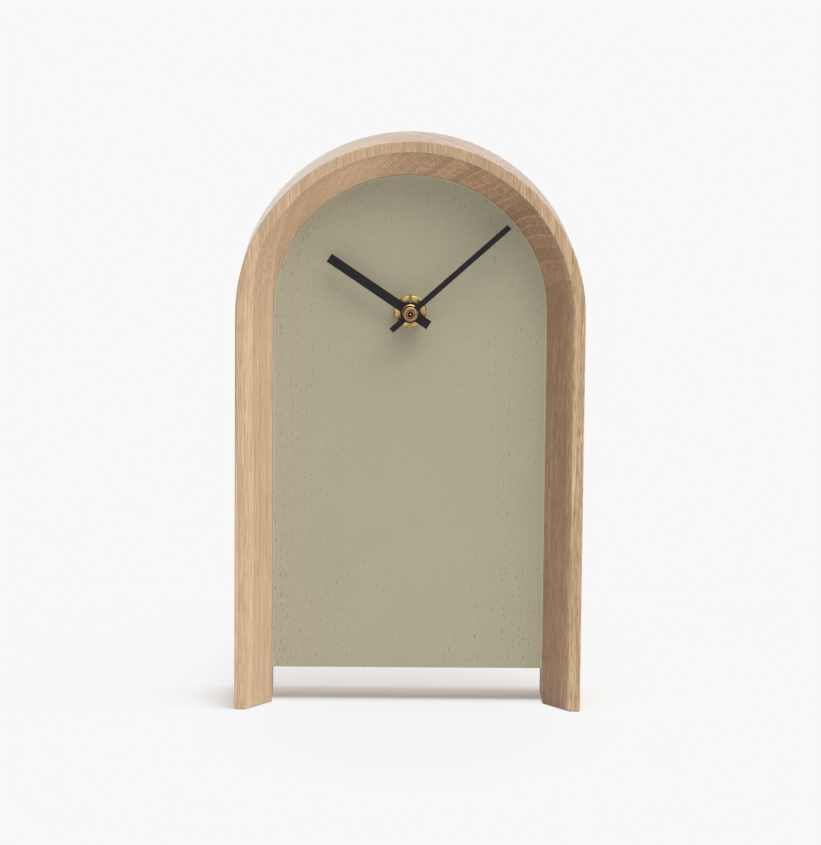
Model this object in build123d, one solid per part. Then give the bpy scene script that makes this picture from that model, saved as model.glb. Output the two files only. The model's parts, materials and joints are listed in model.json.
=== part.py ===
"""An arched shelf clock: an oak arch frame with a bevelled inner edge, a painted board set inside it,
and a battery quartz movement with its hands. Millimetres, +Z up, front towards -Y, origin on the
floor at the centre of the footprint. Writes one STEP file for each piece to parts/."""

import math
import os

from build123d import *

# Oak frame
FRAME_WIDTH = 160.0
FRAME_HEIGHT = 264.5
FRAME_DEPTH = 46.0
FRAME_THICKNESS = 17.0  # from the outside to the straight inner wall
FRONT_LAND = 5.3  # flat front face, outside the bevel
BEVEL_DEPTH = 16.0  # from the front face back to the board
EDGE_ROUND = 0.6
BEVEL_END_ROUND = 0.6

# Painted board
BOARD_GAP = 17.0  # floor to the board's lower edge
BOARD_THICKNESS = 6.0
BOARD_GLUE_LINE = 0.05
BOARD_EDGE_ROUND = 0.15

# Movement case
CASE_SIDE = 56.0
CASE_DEPTH = 16.0
CASE_WALL = 1.5
CASE_CORNER = 2.0
COVER_DEPTH = 3.0  # how far the rear cover's skirt reaches round the sides
COVER_LIP = 1.4  # how far its inner lip reaches into the front case
COVER_LIP_WALL = 0.9
WASHER_DIAMETER = 22.0
WASHER_THICKNESS = 1.0

# Fits
RUNNING_FIT = 0.05  # radial, a pivot in its bearing
PRESS_FIT = 0.01  # radial, a piece pushed on another
ASSEMBLY_FIT = 0.15  # a moulded piece beside its neighbour

# Bush, nut and the three coaxial arbors
BUSH_DIAMETER = 7.9
BUSH_FLANGE_DIAMETER = 11.0
BUSH_PROUD = 3.6  # bush end in front of the board
THREAD_PITCH = 0.75
THREAD_DEPTH = 0.4
RING_NUT_DIAMETER = 14.9
RING_NUT_THICKNESS = 2.4
RING_NUT_SLOT_WIDTH = 1.6
RING_NUT_SLOT_DEPTH = 1.2
RING_NUT_CHAMFER = 0.5
HOUR_PIPE_DIAMETER = 5.0
MINUTE_ARBOR_DIAMETER = 3.4
MINUTE_THREAD_DIAMETER = 3.3
MINUTE_JOURNAL_DIAMETER = 2.2
SECONDS_ARBOR_DIAMETER = 0.8

# Hands, set to the time shown
HOUR_SHOWN = 10
MINUTE_SHOWN = 8.0
HAND_THICKNESS = 0.6
HOUR_HAND_LENGTH = 45.0
HOUR_HAND_TAIL = 10.3
HOUR_HAND_WIDTH = 4.3
HOUR_HUB_DIAMETER = 9.4
HOUR_COLLET_DIAMETER = 7.9
HOUR_COLLET_NECK = 6.4
HOUR_COLLET_FLANGE = 0.9
HOUR_COLLET_CHAMFER = 0.7
HOUR_HAND_GAP = 2.2  # bush end to the back of the hour hand
MINUTE_HAND_CLEARANCE = 2.7  # tip to the straight inner wall
MINUTE_HAND_TAIL = 11.7
MINUTE_HAND_WIDTH = 2.6
MINUTE_HUB_DIAMETER = 7.4
MINUTE_HAND_GAP = 3.2  # front of the hour hand to the back of the minute hand
MINUTE_NUT_DIAMETER = 6.6
MINUTE_NUT_HEIGHT = 2.2
MINUTE_NUT_MOUTH = 4.0
MINUTE_NUT_ROUND = 0.25
MINUTE_ARBOR_MOUTH = 2.4  # counterbore in the arbor's front end
MINUTE_ARBOR_MOUTH_DEPTH = 5.0
MINUTE_ARBOR_SINK = 0.4  # arbor's front end behind the nut's front face
HOUR_COLLET_GAP = 0.6  # bush end to the back of the collet
SECONDS_TIP_SINK = 0.5  # seconds arbor's tip behind the nut's front face

# Gear teeth
PRESSURE_ANGLE = 25.0
ADDENDUM = 0.8  # modules
DEDENDUM = 1.05
TOOTH_THINNING = 0.1  # modules taken off each tooth's thickness, for backlash

# Motion work: minute pinion, motion wheel and pinion, hour wheel
HOUR_MODULE = 0.5
MINUTE_PINION_TEETH = 12
MOTION_WHEEL_TEETH = 36
MOTION_PINION_TEETH = 10
HOUR_WHEEL_TEETH = 40
MOTION_BEARING = 90.0  # degrees from +X to the motion arbor, seen from the front
MOTION_ARBOR_DIAMETER = 2.0
MOTION_PIVOT_DIAMETER = 1.2

# Going train: rotor, intermediate, seconds, third and centre wheels
CENTRE_MODULE = 0.26
CENTRE_WHEEL_TEETH = 80
THIRD_PINION_TEETH = 10
THIRD_WHEEL_TEETH = 75
SECONDS_PINION_TEETH = 10
THIRD_BEARING = 0.0
SECONDS_MODULE = 0.3
SECONDS_WHEEL_TEETH = 60
INTERMEDIATE_PINION_TEETH = 12
INTERMEDIATE_BEARING = 180.0
ROTOR_MODULE = 0.25
INTERMEDIATE_WHEEL_TEETH = 60
ROTOR_PINION_TEETH = 10
ROTOR_BEARING = 100.0  # degrees from +X, rotor seen from the intermediate arbor
TRAIN_ARBOR_DIAMETER = 1.2
TRAIN_PIVOT_DIAMETER = 0.8
ROTOR_DIAMETER = 4.0
ROTOR_LENGTH = 2.0

# Levels of the train, from the case's front wall to its back
WHEEL_THICKNESS = 1.0
LEVEL_GAP = 0.8
PINION_OVERHANG = 0.2
WALL_GAP = 0.5
PLATE_THICKNESS = 0.8
PLATE_GAP = 0.6
PIVOT_BOSS_DIAMETER = 3.0
PIVOT_BOSS_HEIGHT = 1.5
PIVOT_END_SHAKE = 0.2
CLUTCH_SPRING_THICKNESS = 0.3
CLUTCH_SPRING_DIAMETER = 6.0
CLUTCH_COLLAR_DIAMETER = 5.4
CLUTCH_COLLAR_THICKNESS = 0.4
CLUTCH_GAP = 0.05

# Train plate and its pillars
PLATE_MARGIN = 2.6  # case inside to the plate's edge, left and right
PLATE_TOP = 13.5  # above the hand centre
PILLAR_DIAMETER = 4.0
PILLAR_INSET = 2.2
PILLAR_PIN_DIAMETER = 2.0
PILLAR_PIN_PROUD = 0.4

# Motor: stator, coil and their screws
STATOR_THICKNESS = 1.0
STATOR_BAR = 3.0
STATOR_RING_DIAMETER = 8.6
ROTOR_AIR_GAP = 0.3
CORE_WIDTH = 2.4
COIL_RISE = 12.9  # rotor centre up to the coil's axis
COIL_REACH_LEFT = 10.7  # rotor centre to the left leg's centre line
COIL_REACH_RIGHT = 4.1  # rotor centre to the right leg's centre line
COIL_DIAMETER = 6.0
BOBBIN_FLANGE = 0.7
BOBBIN_WALL = 0.5
STATOR_SCREW_DIAMETER = 1.4
STATOR_SCREW_HEAD = 2.6
STATOR_SCREW_HEAD_HEIGHT = 1.0
STATOR_SCREW_DEPTH = 4.0
STATOR_POST_DIAMETER = 3.2

# Circuit board
PCB_WIDTH = 20.0
PCB_HEIGHT = 11.5
PCB_THICKNESS = 0.8
PCB_BACK_GAP = 0.9
PCB_INSET = 1.6  # from the case's inside, right and top
PCB_POST_DIAMETER = 3.0
PCB_POST_INSET = 2.2
CRYSTAL_DIAMETER = 2.0
CRYSTAL_LENGTH = 6.0
CHIP_SIDE = 4.5
CHIP_HEIGHT = 1.0

# Battery and contacts
CELL_DIAMETER = 14.2
CELL_LENGTH = 50.5
CELL_NUB_DIAMETER = 5.5
CELL_NUB_LENGTH = 1.0
CELL_EDGE_ROUND = 0.6
CELL_GAP = 0.15
CONTACT_THICKNESS = 0.4
CONTACT_WIDTH = 9.0
CONTACT_GAP = 0.05
PARTITION_THICKNESS = 0.8

# Time-setting knob
KNOB_DIAMETER = 13.0
KNOB_HEIGHT = 3.2
KNOB_GAP = 0.3
KNOB_FLUTES = 20
KNOB_FLUTE_DIAMETER = 1.2
KNOB_SINK = 2.4
KNOB_ROUND = 0.4

# Places worked out from the sizes above
OUTER_RADIUS = FRAME_WIDTH / 2
OPENING_RADIUS = OUTER_RADIUS - FRAME_THICKNESS
CENTRE_Z = FRAME_HEIGHT - OUTER_RADIUS
FRONT_Y = -FRAME_DEPTH / 2
BACK_Y = FRAME_DEPTH / 2
BOARD_FRONT = FRONT_Y + BEVEL_DEPTH
BOARD_BACK = BOARD_FRONT + BOARD_THICKNESS
CASE_FRONT = BOARD_BACK + WASHER_THICKNESS
CASE_INSIDE = CASE_FRONT + CASE_WALL
CASE_BACK = CASE_FRONT + CASE_DEPTH
COVER_INSIDE = CASE_BACK - CASE_WALL
COVER_SPLIT = CASE_BACK - COVER_DEPTH
INSIDE_HALF = CASE_SIDE / 2 - CASE_WALL

HOUR_LEVEL = CASE_INSIDE + WALL_GAP
MOTION_LEVEL = HOUR_LEVEL + WHEEL_THICKNESS + LEVEL_GAP
CENTRE_LEVEL = MOTION_LEVEL + WHEEL_THICKNESS + LEVEL_GAP
PLATE_LEVEL = CENTRE_LEVEL + WHEEL_THICKNESS + PLATE_GAP
THIRD_LEVEL = PLATE_LEVEL + PLATE_THICKNESS + PLATE_GAP
SECONDS_LEVEL = THIRD_LEVEL + WHEEL_THICKNESS + LEVEL_GAP
BOSS_FRONT = COVER_INSIDE - PIVOT_BOSS_HEIGHT
PIVOT_SHOULDER = BOSS_FRONT - PIVOT_END_SHAKE
PIVOT_END = COVER_INSIDE - PIVOT_END_SHAKE
ROTOR_FRONT = SECONDS_LEVEL - PINION_OVERHANG
STATOR_FRONT = ROTOR_FRONT + (ROTOR_LENGTH - STATOR_THICKNESS) / 2

BUSH_END = BOARD_FRONT - BUSH_PROUD
HOUR_HAND_BACK = BUSH_END - HOUR_HAND_GAP
HOUR_HAND_FRONT = HOUR_HAND_BACK - HAND_THICKNESS
HOUR_PIPE_END = HOUR_HAND_FRONT - HOUR_COLLET_FLANGE
MINUTE_HAND_BACK = HOUR_HAND_FRONT - MINUTE_HAND_GAP
MINUTE_HAND_FRONT = MINUTE_HAND_BACK - HAND_THICKNESS
MINUTE_NUT_FRONT = MINUTE_HAND_FRONT - MINUTE_NUT_HEIGHT
MINUTE_THREAD_END = MINUTE_NUT_FRONT + MINUTE_ARBOR_SINK
SECONDS_TIP = MINUTE_NUT_FRONT + SECONDS_TIP_SINK

MINUTE_HAND_LENGTH = OPENING_RADIUS - MINUTE_HAND_CLEARANCE
MINUTE_ANGLE = MINUTE_SHOWN * 6
HOUR_ANGLE = HOUR_SHOWN * 30 + MINUTE_SHOWN / 2

HOUR_DISTANCE = HOUR_MODULE * (HOUR_WHEEL_TEETH + MOTION_PINION_TEETH) / 2
MOTION_MODULE = 2 * HOUR_DISTANCE / (MINUTE_PINION_TEETH + MOTION_WHEEL_TEETH)
THIRD_DISTANCE = CENTRE_MODULE * (CENTRE_WHEEL_TEETH + THIRD_PINION_TEETH) / 2
THIRD_MODULE = 2 * THIRD_DISTANCE / (THIRD_WHEEL_TEETH + SECONDS_PINION_TEETH)
SECONDS_DISTANCE = SECONDS_MODULE * (SECONDS_WHEEL_TEETH + INTERMEDIATE_PINION_TEETH) / 2
ROTOR_DISTANCE = ROTOR_MODULE * (INTERMEDIATE_WHEEL_TEETH + ROTOR_PINION_TEETH) / 2


def step_from(point, distance, bearing):
    """The (x, z) point at a distance and bearing, in degrees from +X, seen from the front."""
    angle = math.radians(bearing)
    return (point[0] + distance * math.cos(angle), point[1] + distance * math.sin(angle))


HANDS_AT = (0.0, CENTRE_Z)
MOTION_AT = step_from(HANDS_AT, HOUR_DISTANCE, MOTION_BEARING)
THIRD_AT = step_from(HANDS_AT, THIRD_DISTANCE, THIRD_BEARING)
INTERMEDIATE_AT = step_from(HANDS_AT, SECONDS_DISTANCE, INTERMEDIATE_BEARING)
ROTOR_AT = step_from(INTERMEDIATE_AT, ROTOR_DISTANCE, ROTOR_BEARING)
COIL_Z = ROTOR_AT[1] + COIL_RISE
LEFT_LEG_X = ROTOR_AT[0] - COIL_REACH_LEFT
RIGHT_LEG_X = ROTOR_AT[0] + COIL_REACH_RIGHT
STATOR_SCREWS_AT = [(LEFT_LEG_X, COIL_Z), (RIGHT_LEG_X, COIL_Z)]

CELL_RADIUS = CELL_DIAMETER / 2
BAY_BOTTOM = CENTRE_Z - INSIDE_HALF
CELL_Z = BAY_BOTTOM + CELL_GAP + CELL_RADIUS
CELL_Y = CASE_INSIDE + CELL_GAP + CELL_RADIUS
BAY_TOP = CELL_Z + CELL_RADIUS + CELL_GAP
CELL_RIGHT = INSIDE_HALF - CONTACT_THICKNESS - CONTACT_GAP
CELL_LEFT = CELL_RIGHT - CELL_LENGTH

PLATE_HALF = INSIDE_HALF - PLATE_MARGIN
PLATE_BOTTOM = BAY_TOP + PARTITION_THICKNESS + PLATE_GAP
PILLARS_AT = [
    (side * (PLATE_HALF - PILLAR_INSET), z)
    for side in (-1, 1)
    for z in (PLATE_BOTTOM + PILLAR_INSET, CENTRE_Z + PLATE_TOP - PILLAR_INSET)
]
PCB_RIGHT = INSIDE_HALF - PCB_INSET
PCB_LEFT = PCB_RIGHT - PCB_WIDTH
PCB_TOP = CENTRE_Z + INSIDE_HALF - PCB_INSET
PCB_BOTTOM = PCB_TOP - PCB_HEIGHT
PCB_REAR = COVER_INSIDE - PCB_BACK_GAP
PCB_FRONT = PCB_REAR - PCB_THICKNESS
PCB_POSTS_AT = [
    (PCB_RIGHT - PCB_POST_INSET, PCB_BOTTOM + PCB_POST_INSET),
    (PCB_LEFT + PCB_POST_INSET, PCB_TOP - PCB_POST_INSET),
]


def front_plane(at, y):
    """A sketch plane facing the front: its x is +X, its y is +Z and its normal is -Y."""
    return Plane(origin=(at[0], y, at[1]), x_dir=(1, 0, 0), z_dir=(0, -1, 0))


def disc(at, front, back, diameter):
    """A round bar along Y."""
    return extrude(front_plane(at, back) * Circle(diameter / 2), back - front)


def ring(at, front, back, outer, inner):
    return disc(at, front, back, outer) - disc(at, front, back, inner)


def slab(x0, x1, front, back, z0, z1):
    return Pos((x0 + x1) / 2, (front + back) / 2, (z0 + z1) / 2) * Box(x1 - x0, back - front, z1 - z0)


def turned(at, profile):
    """A solid turned about the Y axis through at, from (radius, y) points."""
    corners = [(at[0] + radius, y, at[1]) for radius, y in profile]
    face = make_face(Polyline(*corners, close=True))
    return revolve(face, Axis((at[0], 0, at[1]), (0, 1, 0)), 360)


def involute_point(base_radius, radius, offset):
    """A point at a radius on the involute whose foot is turned by offset from the x axis."""
    if radius <= base_radius:
        return (radius, offset)
    roll = math.sqrt((radius / base_radius) ** 2 - 1)
    return (radius, offset + roll - math.atan(roll))


def toothed(at, front, back, module, teeth, phase):
    """A spur wheel along Y with a tooth centred at phase radians from +X, seen from the front."""
    pitch_radius = module * teeth / 2
    base_radius = pitch_radius * math.cos(math.radians(PRESSURE_ANGLE))
    tip_radius = pitch_radius + ADDENDUM * module
    root_radius = pitch_radius - DEDENDUM * module
    half_tooth = (math.pi / 2 - TOOTH_THINNING) / teeth
    foot = -half_tooth - involute_point(base_radius, pitch_radius, 0)[1]
    low = max(base_radius, root_radius)
    flank = [involute_point(base_radius, radius, foot) for radius in (low, (low + tip_radius) / 2, tip_radius)]

    def place(point, turn, mirror=1):
        angle = turn + mirror * point[1]
        return (point[0] * math.cos(angle), point[0] * math.sin(angle))

    edges = []
    pitch_angle = 2 * math.pi / teeth
    for tooth in range(teeth):
        turn = phase + tooth * pitch_angle
        rise = [place(point, turn) for point in flank]
        fall = [place(point, turn, -1) for point in reversed(flank)]
        root_start = place((root_radius, flank[0][1]), turn)
        root_end = place((root_radius, flank[0][1]), turn, -1)
        next_root = place((root_radius, flank[0][1]), turn + pitch_angle)
        if root_radius < base_radius:
            edges += [Line(root_start, rise[0]), Line(fall[2], root_end)]
        edges.append(ThreePointArc(*rise))
        edges.append(ThreePointArc(rise[2], place((tip_radius, 0), turn), fall[0]))
        edges.append(ThreePointArc(*fall))
        root_middle = place((root_radius, 0), turn + pitch_angle / 2)
        edges.append(ThreePointArc(root_end, root_middle, next_root))
    return extrude(front_plane(at, back) * make_face(edges), back - front)


def meshing_phase(phase, teeth, bearing, other_teeth):
    """The phase, in radians, of a wheel that meshes with another one standing at a bearing in degrees from it."""
    angle = math.radians(bearing)
    along = (angle - phase) * teeth / (2 * math.pi)
    return angle + math.pi - (0.5 - along) * 2 * math.pi / other_teeth


def frame_section():
    """The right leg's section, at the floor: outside wall, front land, bevel and inside wall."""
    corners = [
        (OUTER_RADIUS, FRONT_Y),
        (OUTER_RADIUS, BACK_Y),
        (OPENING_RADIUS, BACK_Y),
        (OPENING_RADIUS, BOARD_FRONT),
        (OUTER_RADIUS - FRONT_LAND, FRONT_Y),
    ]
    face = make_face(Polyline(*corners, close=True))
    bevel_end = face.vertices().sort_by_distance((OPENING_RADIUS, BOARD_FRONT, 0))[0]
    others = [corner for corner in face.vertices() if corner != bevel_end]
    face = fillet(others, EDGE_ROUND)
    bevel_end = face.vertices().sort_by_distance((OPENING_RADIUS, BOARD_FRONT, 0))[0]
    return fillet(bevel_end, BEVEL_END_ROUND)


def oak_frame():
    section = frame_section()
    leg = extrude(section, CENTRE_Z, dir=(0, 0, 1))
    arch = revolve(Pos(0, 0, CENTRE_Z) * section, Axis((0, 0, CENTRE_Z), (0, 1, 0)), -180)
    frame = leg + mirror(leg, Plane.YZ) + arch
    floor_edges = frame.faces().sort_by(Axis.Z)[:2].edges()
    return chamfer(floor_edges, EDGE_ROUND)


def painted_board():
    radius = OPENING_RADIUS - BOARD_GLUE_LINE
    low_right = (radius, BOARD_GAP - CENTRE_Z)
    low_left = (-radius, BOARD_GAP - CENTRE_Z)
    outline = make_face(
        [
            Line(low_left, low_right),
            Line(low_right, (radius, 0)),
            ThreePointArc((radius, 0), (0, radius), (-radius, 0)),
            Line((-radius, 0), low_left),
        ]
    )
    board = extrude(front_plane(HANDS_AT, BOARD_BACK) * outline, BOARD_THICKNESS)
    board = fillet(board.faces().sort_by(Axis.Y)[0].edges(), BOARD_EDGE_ROUND)
    return board - disc(HANDS_AT, BOARD_FRONT, BOARD_BACK, BUSH_DIAMETER + 2 * ASSEMBLY_FIT)


def case_block(front, back, inset):
    side = CASE_SIDE - 2 * inset
    corner = max(CASE_CORNER - inset, EDGE_ROUND)
    return extrude(front_plane(HANDS_AT, back) * RectangleRounded(side, side, corner), back - front)


def front_case():
    case = case_block(CASE_FRONT, COVER_SPLIT, 0) - case_block(CASE_INSIDE, COVER_SPLIT, CASE_WALL)
    bay_z = BAY_TOP + PARTITION_THICKNESS
    partition_back = COVER_SPLIT - COVER_LIP - ASSEMBLY_FIT
    case += slab(-INSIDE_HALF, INSIDE_HALF, CASE_INSIDE, partition_back, BAY_TOP, bay_z)
    for at in PILLARS_AT:
        case += disc(at, CASE_INSIDE, PLATE_LEVEL, PILLAR_DIAMETER)
        case += disc(at, PLATE_LEVEL, PLATE_LEVEL + PLATE_THICKNESS + PILLAR_PIN_PROUD, PILLAR_PIN_DIAMETER)
    for at in PCB_POSTS_AT:
        case += disc(at, CASE_INSIDE, PCB_FRONT, PCB_POST_DIAMETER)
    for at in STATOR_SCREWS_AT:
        case += disc(at, CASE_INSIDE, STATOR_FRONT, STATOR_POST_DIAMETER)
        hole_front = STATOR_FRONT - STATOR_SCREW_DEPTH - PIVOT_END_SHAKE
        case -= disc(at, hole_front, STATOR_FRONT, STATOR_SCREW_DIAMETER + 2 * RUNNING_FIT)
    case -= disc(HANDS_AT, CASE_FRONT, CASE_INSIDE, BUSH_FLANGE_DIAMETER + 2 * PRESS_FIT)
    pivot_front = CASE_FRONT + PIVOT_END_SHAKE
    case -= disc(MOTION_AT, pivot_front, CASE_INSIDE, MOTION_PIVOT_DIAMETER + 2 * RUNNING_FIT)
    return case


def rear_cover():
    cover = case_block(COVER_SPLIT, CASE_BACK, 0) - case_block(COVER_SPLIT, COVER_INSIDE, CASE_WALL)
    cover = fillet(cover.faces().sort_by(Axis.Y)[-1].edges(), EDGE_ROUND)
    lip_front = COVER_SPLIT - COVER_LIP
    lip_inset = CASE_WALL + ASSEMBLY_FIT
    lip = case_block(lip_front, COVER_INSIDE, lip_inset)
    cover += lip - case_block(lip_front, COVER_INSIDE, lip_inset + COVER_LIP_WALL)
    for at in (THIRD_AT, INTERMEDIATE_AT, ROTOR_AT, HANDS_AT):
        cover += disc(at, BOSS_FRONT, COVER_INSIDE, PIVOT_BOSS_DIAMETER)
        pivot = SECONDS_ARBOR_DIAMETER if at == HANDS_AT else TRAIN_PIVOT_DIAMETER
        cover -= disc(at, BOSS_FRONT, COVER_INSIDE, pivot + 2 * RUNNING_FIT)
    cover -= disc(MOTION_AT, COVER_INSIDE, CASE_BACK, MOTION_ARBOR_DIAMETER + 2 * RUNNING_FIT)
    return cover - slab(-INSIDE_HALF, INSIDE_HALF, lip_front, CASE_BACK, BAY_BOTTOM, BAY_TOP)


def threaded_bush():
    bore = HOUR_PIPE_DIAMETER / 2 + RUNNING_FIT
    crest = BUSH_DIAMETER / 2
    profile = [(bore, BUSH_END)]
    turns = int((BOARD_BACK - BUSH_END) / THREAD_PITCH)
    for turn in range(turns):
        start = BUSH_END + turn * THREAD_PITCH
        profile += [(crest - THREAD_DEPTH, start), (crest, start + THREAD_PITCH / 2)]
    flange = BUSH_FLANGE_DIAMETER / 2
    profile += [(crest - THREAD_DEPTH, BUSH_END + turns * THREAD_PITCH)]
    profile += [(crest - THREAD_DEPTH, CASE_FRONT), (flange, CASE_FRONT), (flange, CASE_INSIDE), (bore, CASE_INSIDE)]
    return turned(HANDS_AT, profile)


def rubber_washer():
    return ring(HANDS_AT, BOARD_BACK, CASE_FRONT, WASHER_DIAMETER, BUSH_DIAMETER + 2 * ASSEMBLY_FIT)


def ring_nut():
    front = BOARD_FRONT - RING_NUT_THICKNESS
    bore = BUSH_DIAMETER / 2 + RUNNING_FIT
    rim = RING_NUT_DIAMETER / 2
    profile = [
        (bore, front),
        (rim - RING_NUT_CHAMFER, front),
        (rim, front + RING_NUT_CHAMFER),
        (rim, BOARD_FRONT),
        (bore, BOARD_FRONT),
    ]
    half_slot = RING_NUT_SLOT_WIDTH / 2
    slot_back = front + RING_NUT_SLOT_DEPTH
    slot = slab(-half_slot, half_slot, front, slot_back, CENTRE_Z - rim, CENTRE_Z + rim)
    return turned(HANDS_AT, profile) - slot


def baton_hand(angle, front, back, length, tail, width, hub, hole):
    """A straight hand with a round hub, turned clockwise by angle degrees from twelve o'clock."""
    bar = Pos(0, (length - tail) / 2) * Rectangle(width, length + tail)
    outline = bar + Circle(hub / 2) - Circle(hole / 2)
    return extrude(front_plane(HANDS_AT, back) * Rot(0, 0, -angle) * outline, back - front)


def hour_hand():
    hole = HOUR_COLLET_NECK + 2 * PRESS_FIT
    size = (HOUR_HAND_LENGTH, HOUR_HAND_TAIL, HOUR_HAND_WIDTH, HOUR_HUB_DIAMETER)
    return baton_hand(HOUR_ANGLE, HOUR_HAND_FRONT, HOUR_HAND_BACK, *size, hole)


def hour_collet():
    bore = HOUR_PIPE_DIAMETER / 2 + PRESS_FIT
    profile = [
        (bore, HOUR_PIPE_END),
        (HOUR_COLLET_DIAMETER / 2 - HOUR_COLLET_CHAMFER, HOUR_PIPE_END),
        (HOUR_COLLET_DIAMETER / 2, HOUR_PIPE_END + HOUR_COLLET_CHAMFER),
        (HOUR_COLLET_DIAMETER / 2, HOUR_HAND_FRONT),
        (HOUR_COLLET_NECK / 2, HOUR_HAND_FRONT),
        (HOUR_COLLET_NECK / 2, BUSH_END - HOUR_COLLET_GAP),
        (bore, BUSH_END - HOUR_COLLET_GAP),
    ]
    return turned(HANDS_AT, profile)


def minute_hand():
    hole = MINUTE_THREAD_DIAMETER + 2 * PRESS_FIT
    size = (MINUTE_HAND_LENGTH, MINUTE_HAND_TAIL, MINUTE_HAND_WIDTH, MINUTE_HUB_DIAMETER)
    return baton_hand(MINUTE_ANGLE, MINUTE_HAND_FRONT, MINUTE_HAND_BACK, *size, hole)


def minute_nut():
    """A round nut, open at the front, with a rounded rim and a countersunk mouth."""
    rim = MINUTE_NUT_DIAMETER / 2
    bore = MINUTE_THREAD_DIAMETER / 2 + PRESS_FIT
    mouth = MINUTE_NUT_MOUTH / 2
    profile = [
        (bore, MINUTE_NUT_FRONT + mouth - bore),
        (mouth, MINUTE_NUT_FRONT),
        (rim - MINUTE_NUT_ROUND, MINUTE_NUT_FRONT),
        (rim, MINUTE_NUT_FRONT + MINUTE_NUT_ROUND),
        (rim, MINUTE_HAND_FRONT),
        (bore, MINUTE_HAND_FRONT),
    ]
    return turned(HANDS_AT, profile)


def minute_pinion_phase():
    return math.radians(90 - MINUTE_ANGLE)


def minute_arbor():
    body = MINUTE_ARBOR_DIAMETER
    pinion_front = MOTION_LEVEL - PINION_OVERHANG
    pinion_back = MOTION_LEVEL + WHEEL_THICKNESS + PINION_OVERHANG
    collar_back = CENTRE_LEVEL + WHEEL_THICKNESS + CLUTCH_GAP + CLUTCH_COLLAR_THICKNESS
    journal_back = PLATE_LEVEL + PLATE_THICKNESS + PIVOT_END_SHAKE
    arbor = disc(HANDS_AT, MINUTE_THREAD_END, MINUTE_HAND_BACK, MINUTE_THREAD_DIAMETER)
    arbor += disc(HANDS_AT, MINUTE_HAND_BACK, collar_back, body)
    arbor += disc(HANDS_AT, collar_back, journal_back, MINUTE_JOURNAL_DIAMETER)
    arbor += toothed(HANDS_AT, pinion_front, pinion_back, MOTION_MODULE, MINUTE_PINION_TEETH, minute_pinion_phase())
    arbor -= disc(HANDS_AT, MINUTE_THREAD_END, MINUTE_THREAD_END + MINUTE_ARBOR_MOUTH_DEPTH, MINUTE_ARBOR_MOUTH)
    return arbor - disc(HANDS_AT, MINUTE_THREAD_END, journal_back, SECONDS_ARBOR_DIAMETER + 2 * RUNNING_FIT)


def motion_pinion_phase():
    return math.radians(MOTION_BEARING)


def hour_wheel():
    phase = meshing_phase(motion_pinion_phase(), MOTION_PINION_TEETH, MOTION_BEARING + 180, HOUR_WHEEL_TEETH)
    wheel = toothed(HANDS_AT, HOUR_LEVEL, HOUR_LEVEL + WHEEL_THICKNESS, HOUR_MODULE, HOUR_WHEEL_TEETH, phase)
    wheel += disc(HANDS_AT, HOUR_PIPE_END, HOUR_LEVEL, HOUR_PIPE_DIAMETER)
    bore = MINUTE_ARBOR_DIAMETER + 2 * RUNNING_FIT
    return wheel - disc(HANDS_AT, HOUR_PIPE_END, HOUR_LEVEL + WHEEL_THICKNESS, bore)


def motion_wheel():
    pinion_front = HOUR_LEVEL - PINION_OVERHANG
    pinion_back = HOUR_LEVEL + WHEEL_THICKNESS + PINION_OVERHANG
    knob_seat = CASE_BACK + KNOB_GAP + KNOB_SINK
    phase = meshing_phase(minute_pinion_phase(), MINUTE_PINION_TEETH, MOTION_BEARING, MOTION_WHEEL_TEETH)
    wheel_back = MOTION_LEVEL + WHEEL_THICKNESS
    wheel = toothed(MOTION_AT, MOTION_LEVEL, wheel_back, MOTION_MODULE, MOTION_WHEEL_TEETH, phase)
    wheel += toothed(MOTION_AT, pinion_front, pinion_back, HOUR_MODULE, MOTION_PINION_TEETH, motion_pinion_phase())
    wheel += disc(MOTION_AT, CASE_FRONT + 2 * PIVOT_END_SHAKE, pinion_front, MOTION_PIVOT_DIAMETER)
    return wheel + disc(MOTION_AT, pinion_back, knob_seat, MOTION_ARBOR_DIAMETER)


def setting_knob():
    front = CASE_BACK + KNOB_GAP
    back = front + KNOB_HEIGHT
    knob = disc(MOTION_AT, front, back, KNOB_DIAMETER)
    knob = fillet(knob.edges().filter_by(GeomType.CIRCLE), KNOB_ROUND)
    for flute in range(KNOB_FLUTES):
        at = step_from(MOTION_AT, KNOB_DIAMETER / 2, flute * 360 / KNOB_FLUTES)
        knob -= disc(at, front, back, KNOB_FLUTE_DIAMETER)
    return knob - disc(MOTION_AT, front, front + KNOB_SINK, MOTION_ARBOR_DIAMETER + 2 * PRESS_FIT)


def centre_wheel():
    back = CENTRE_LEVEL + WHEEL_THICKNESS
    wheel = toothed(HANDS_AT, CENTRE_LEVEL, back, CENTRE_MODULE, CENTRE_WHEEL_TEETH, 0)
    return wheel - disc(HANDS_AT, CENTRE_LEVEL, back, MINUTE_ARBOR_DIAMETER + 2 * RUNNING_FIT)


def clutch_spring():
    """The spring washer that grips the centre wheel against the arbor's collar."""
    back = CENTRE_LEVEL - CLUTCH_GAP
    bore = MINUTE_ARBOR_DIAMETER + 2 * PRESS_FIT
    return ring(HANDS_AT, back - CLUTCH_SPRING_THICKNESS, back, CLUTCH_SPRING_DIAMETER, bore)


def clutch_collar():
    front = CENTRE_LEVEL + WHEEL_THICKNESS + CLUTCH_GAP
    bore = MINUTE_ARBOR_DIAMETER + 2 * PRESS_FIT
    return ring(HANDS_AT, front, front + CLUTCH_COLLAR_THICKNESS, CLUTCH_COLLAR_DIAMETER, bore)


def third_pinion_phase():
    return meshing_phase(0, CENTRE_WHEEL_TEETH, THIRD_BEARING, THIRD_PINION_TEETH)


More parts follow.
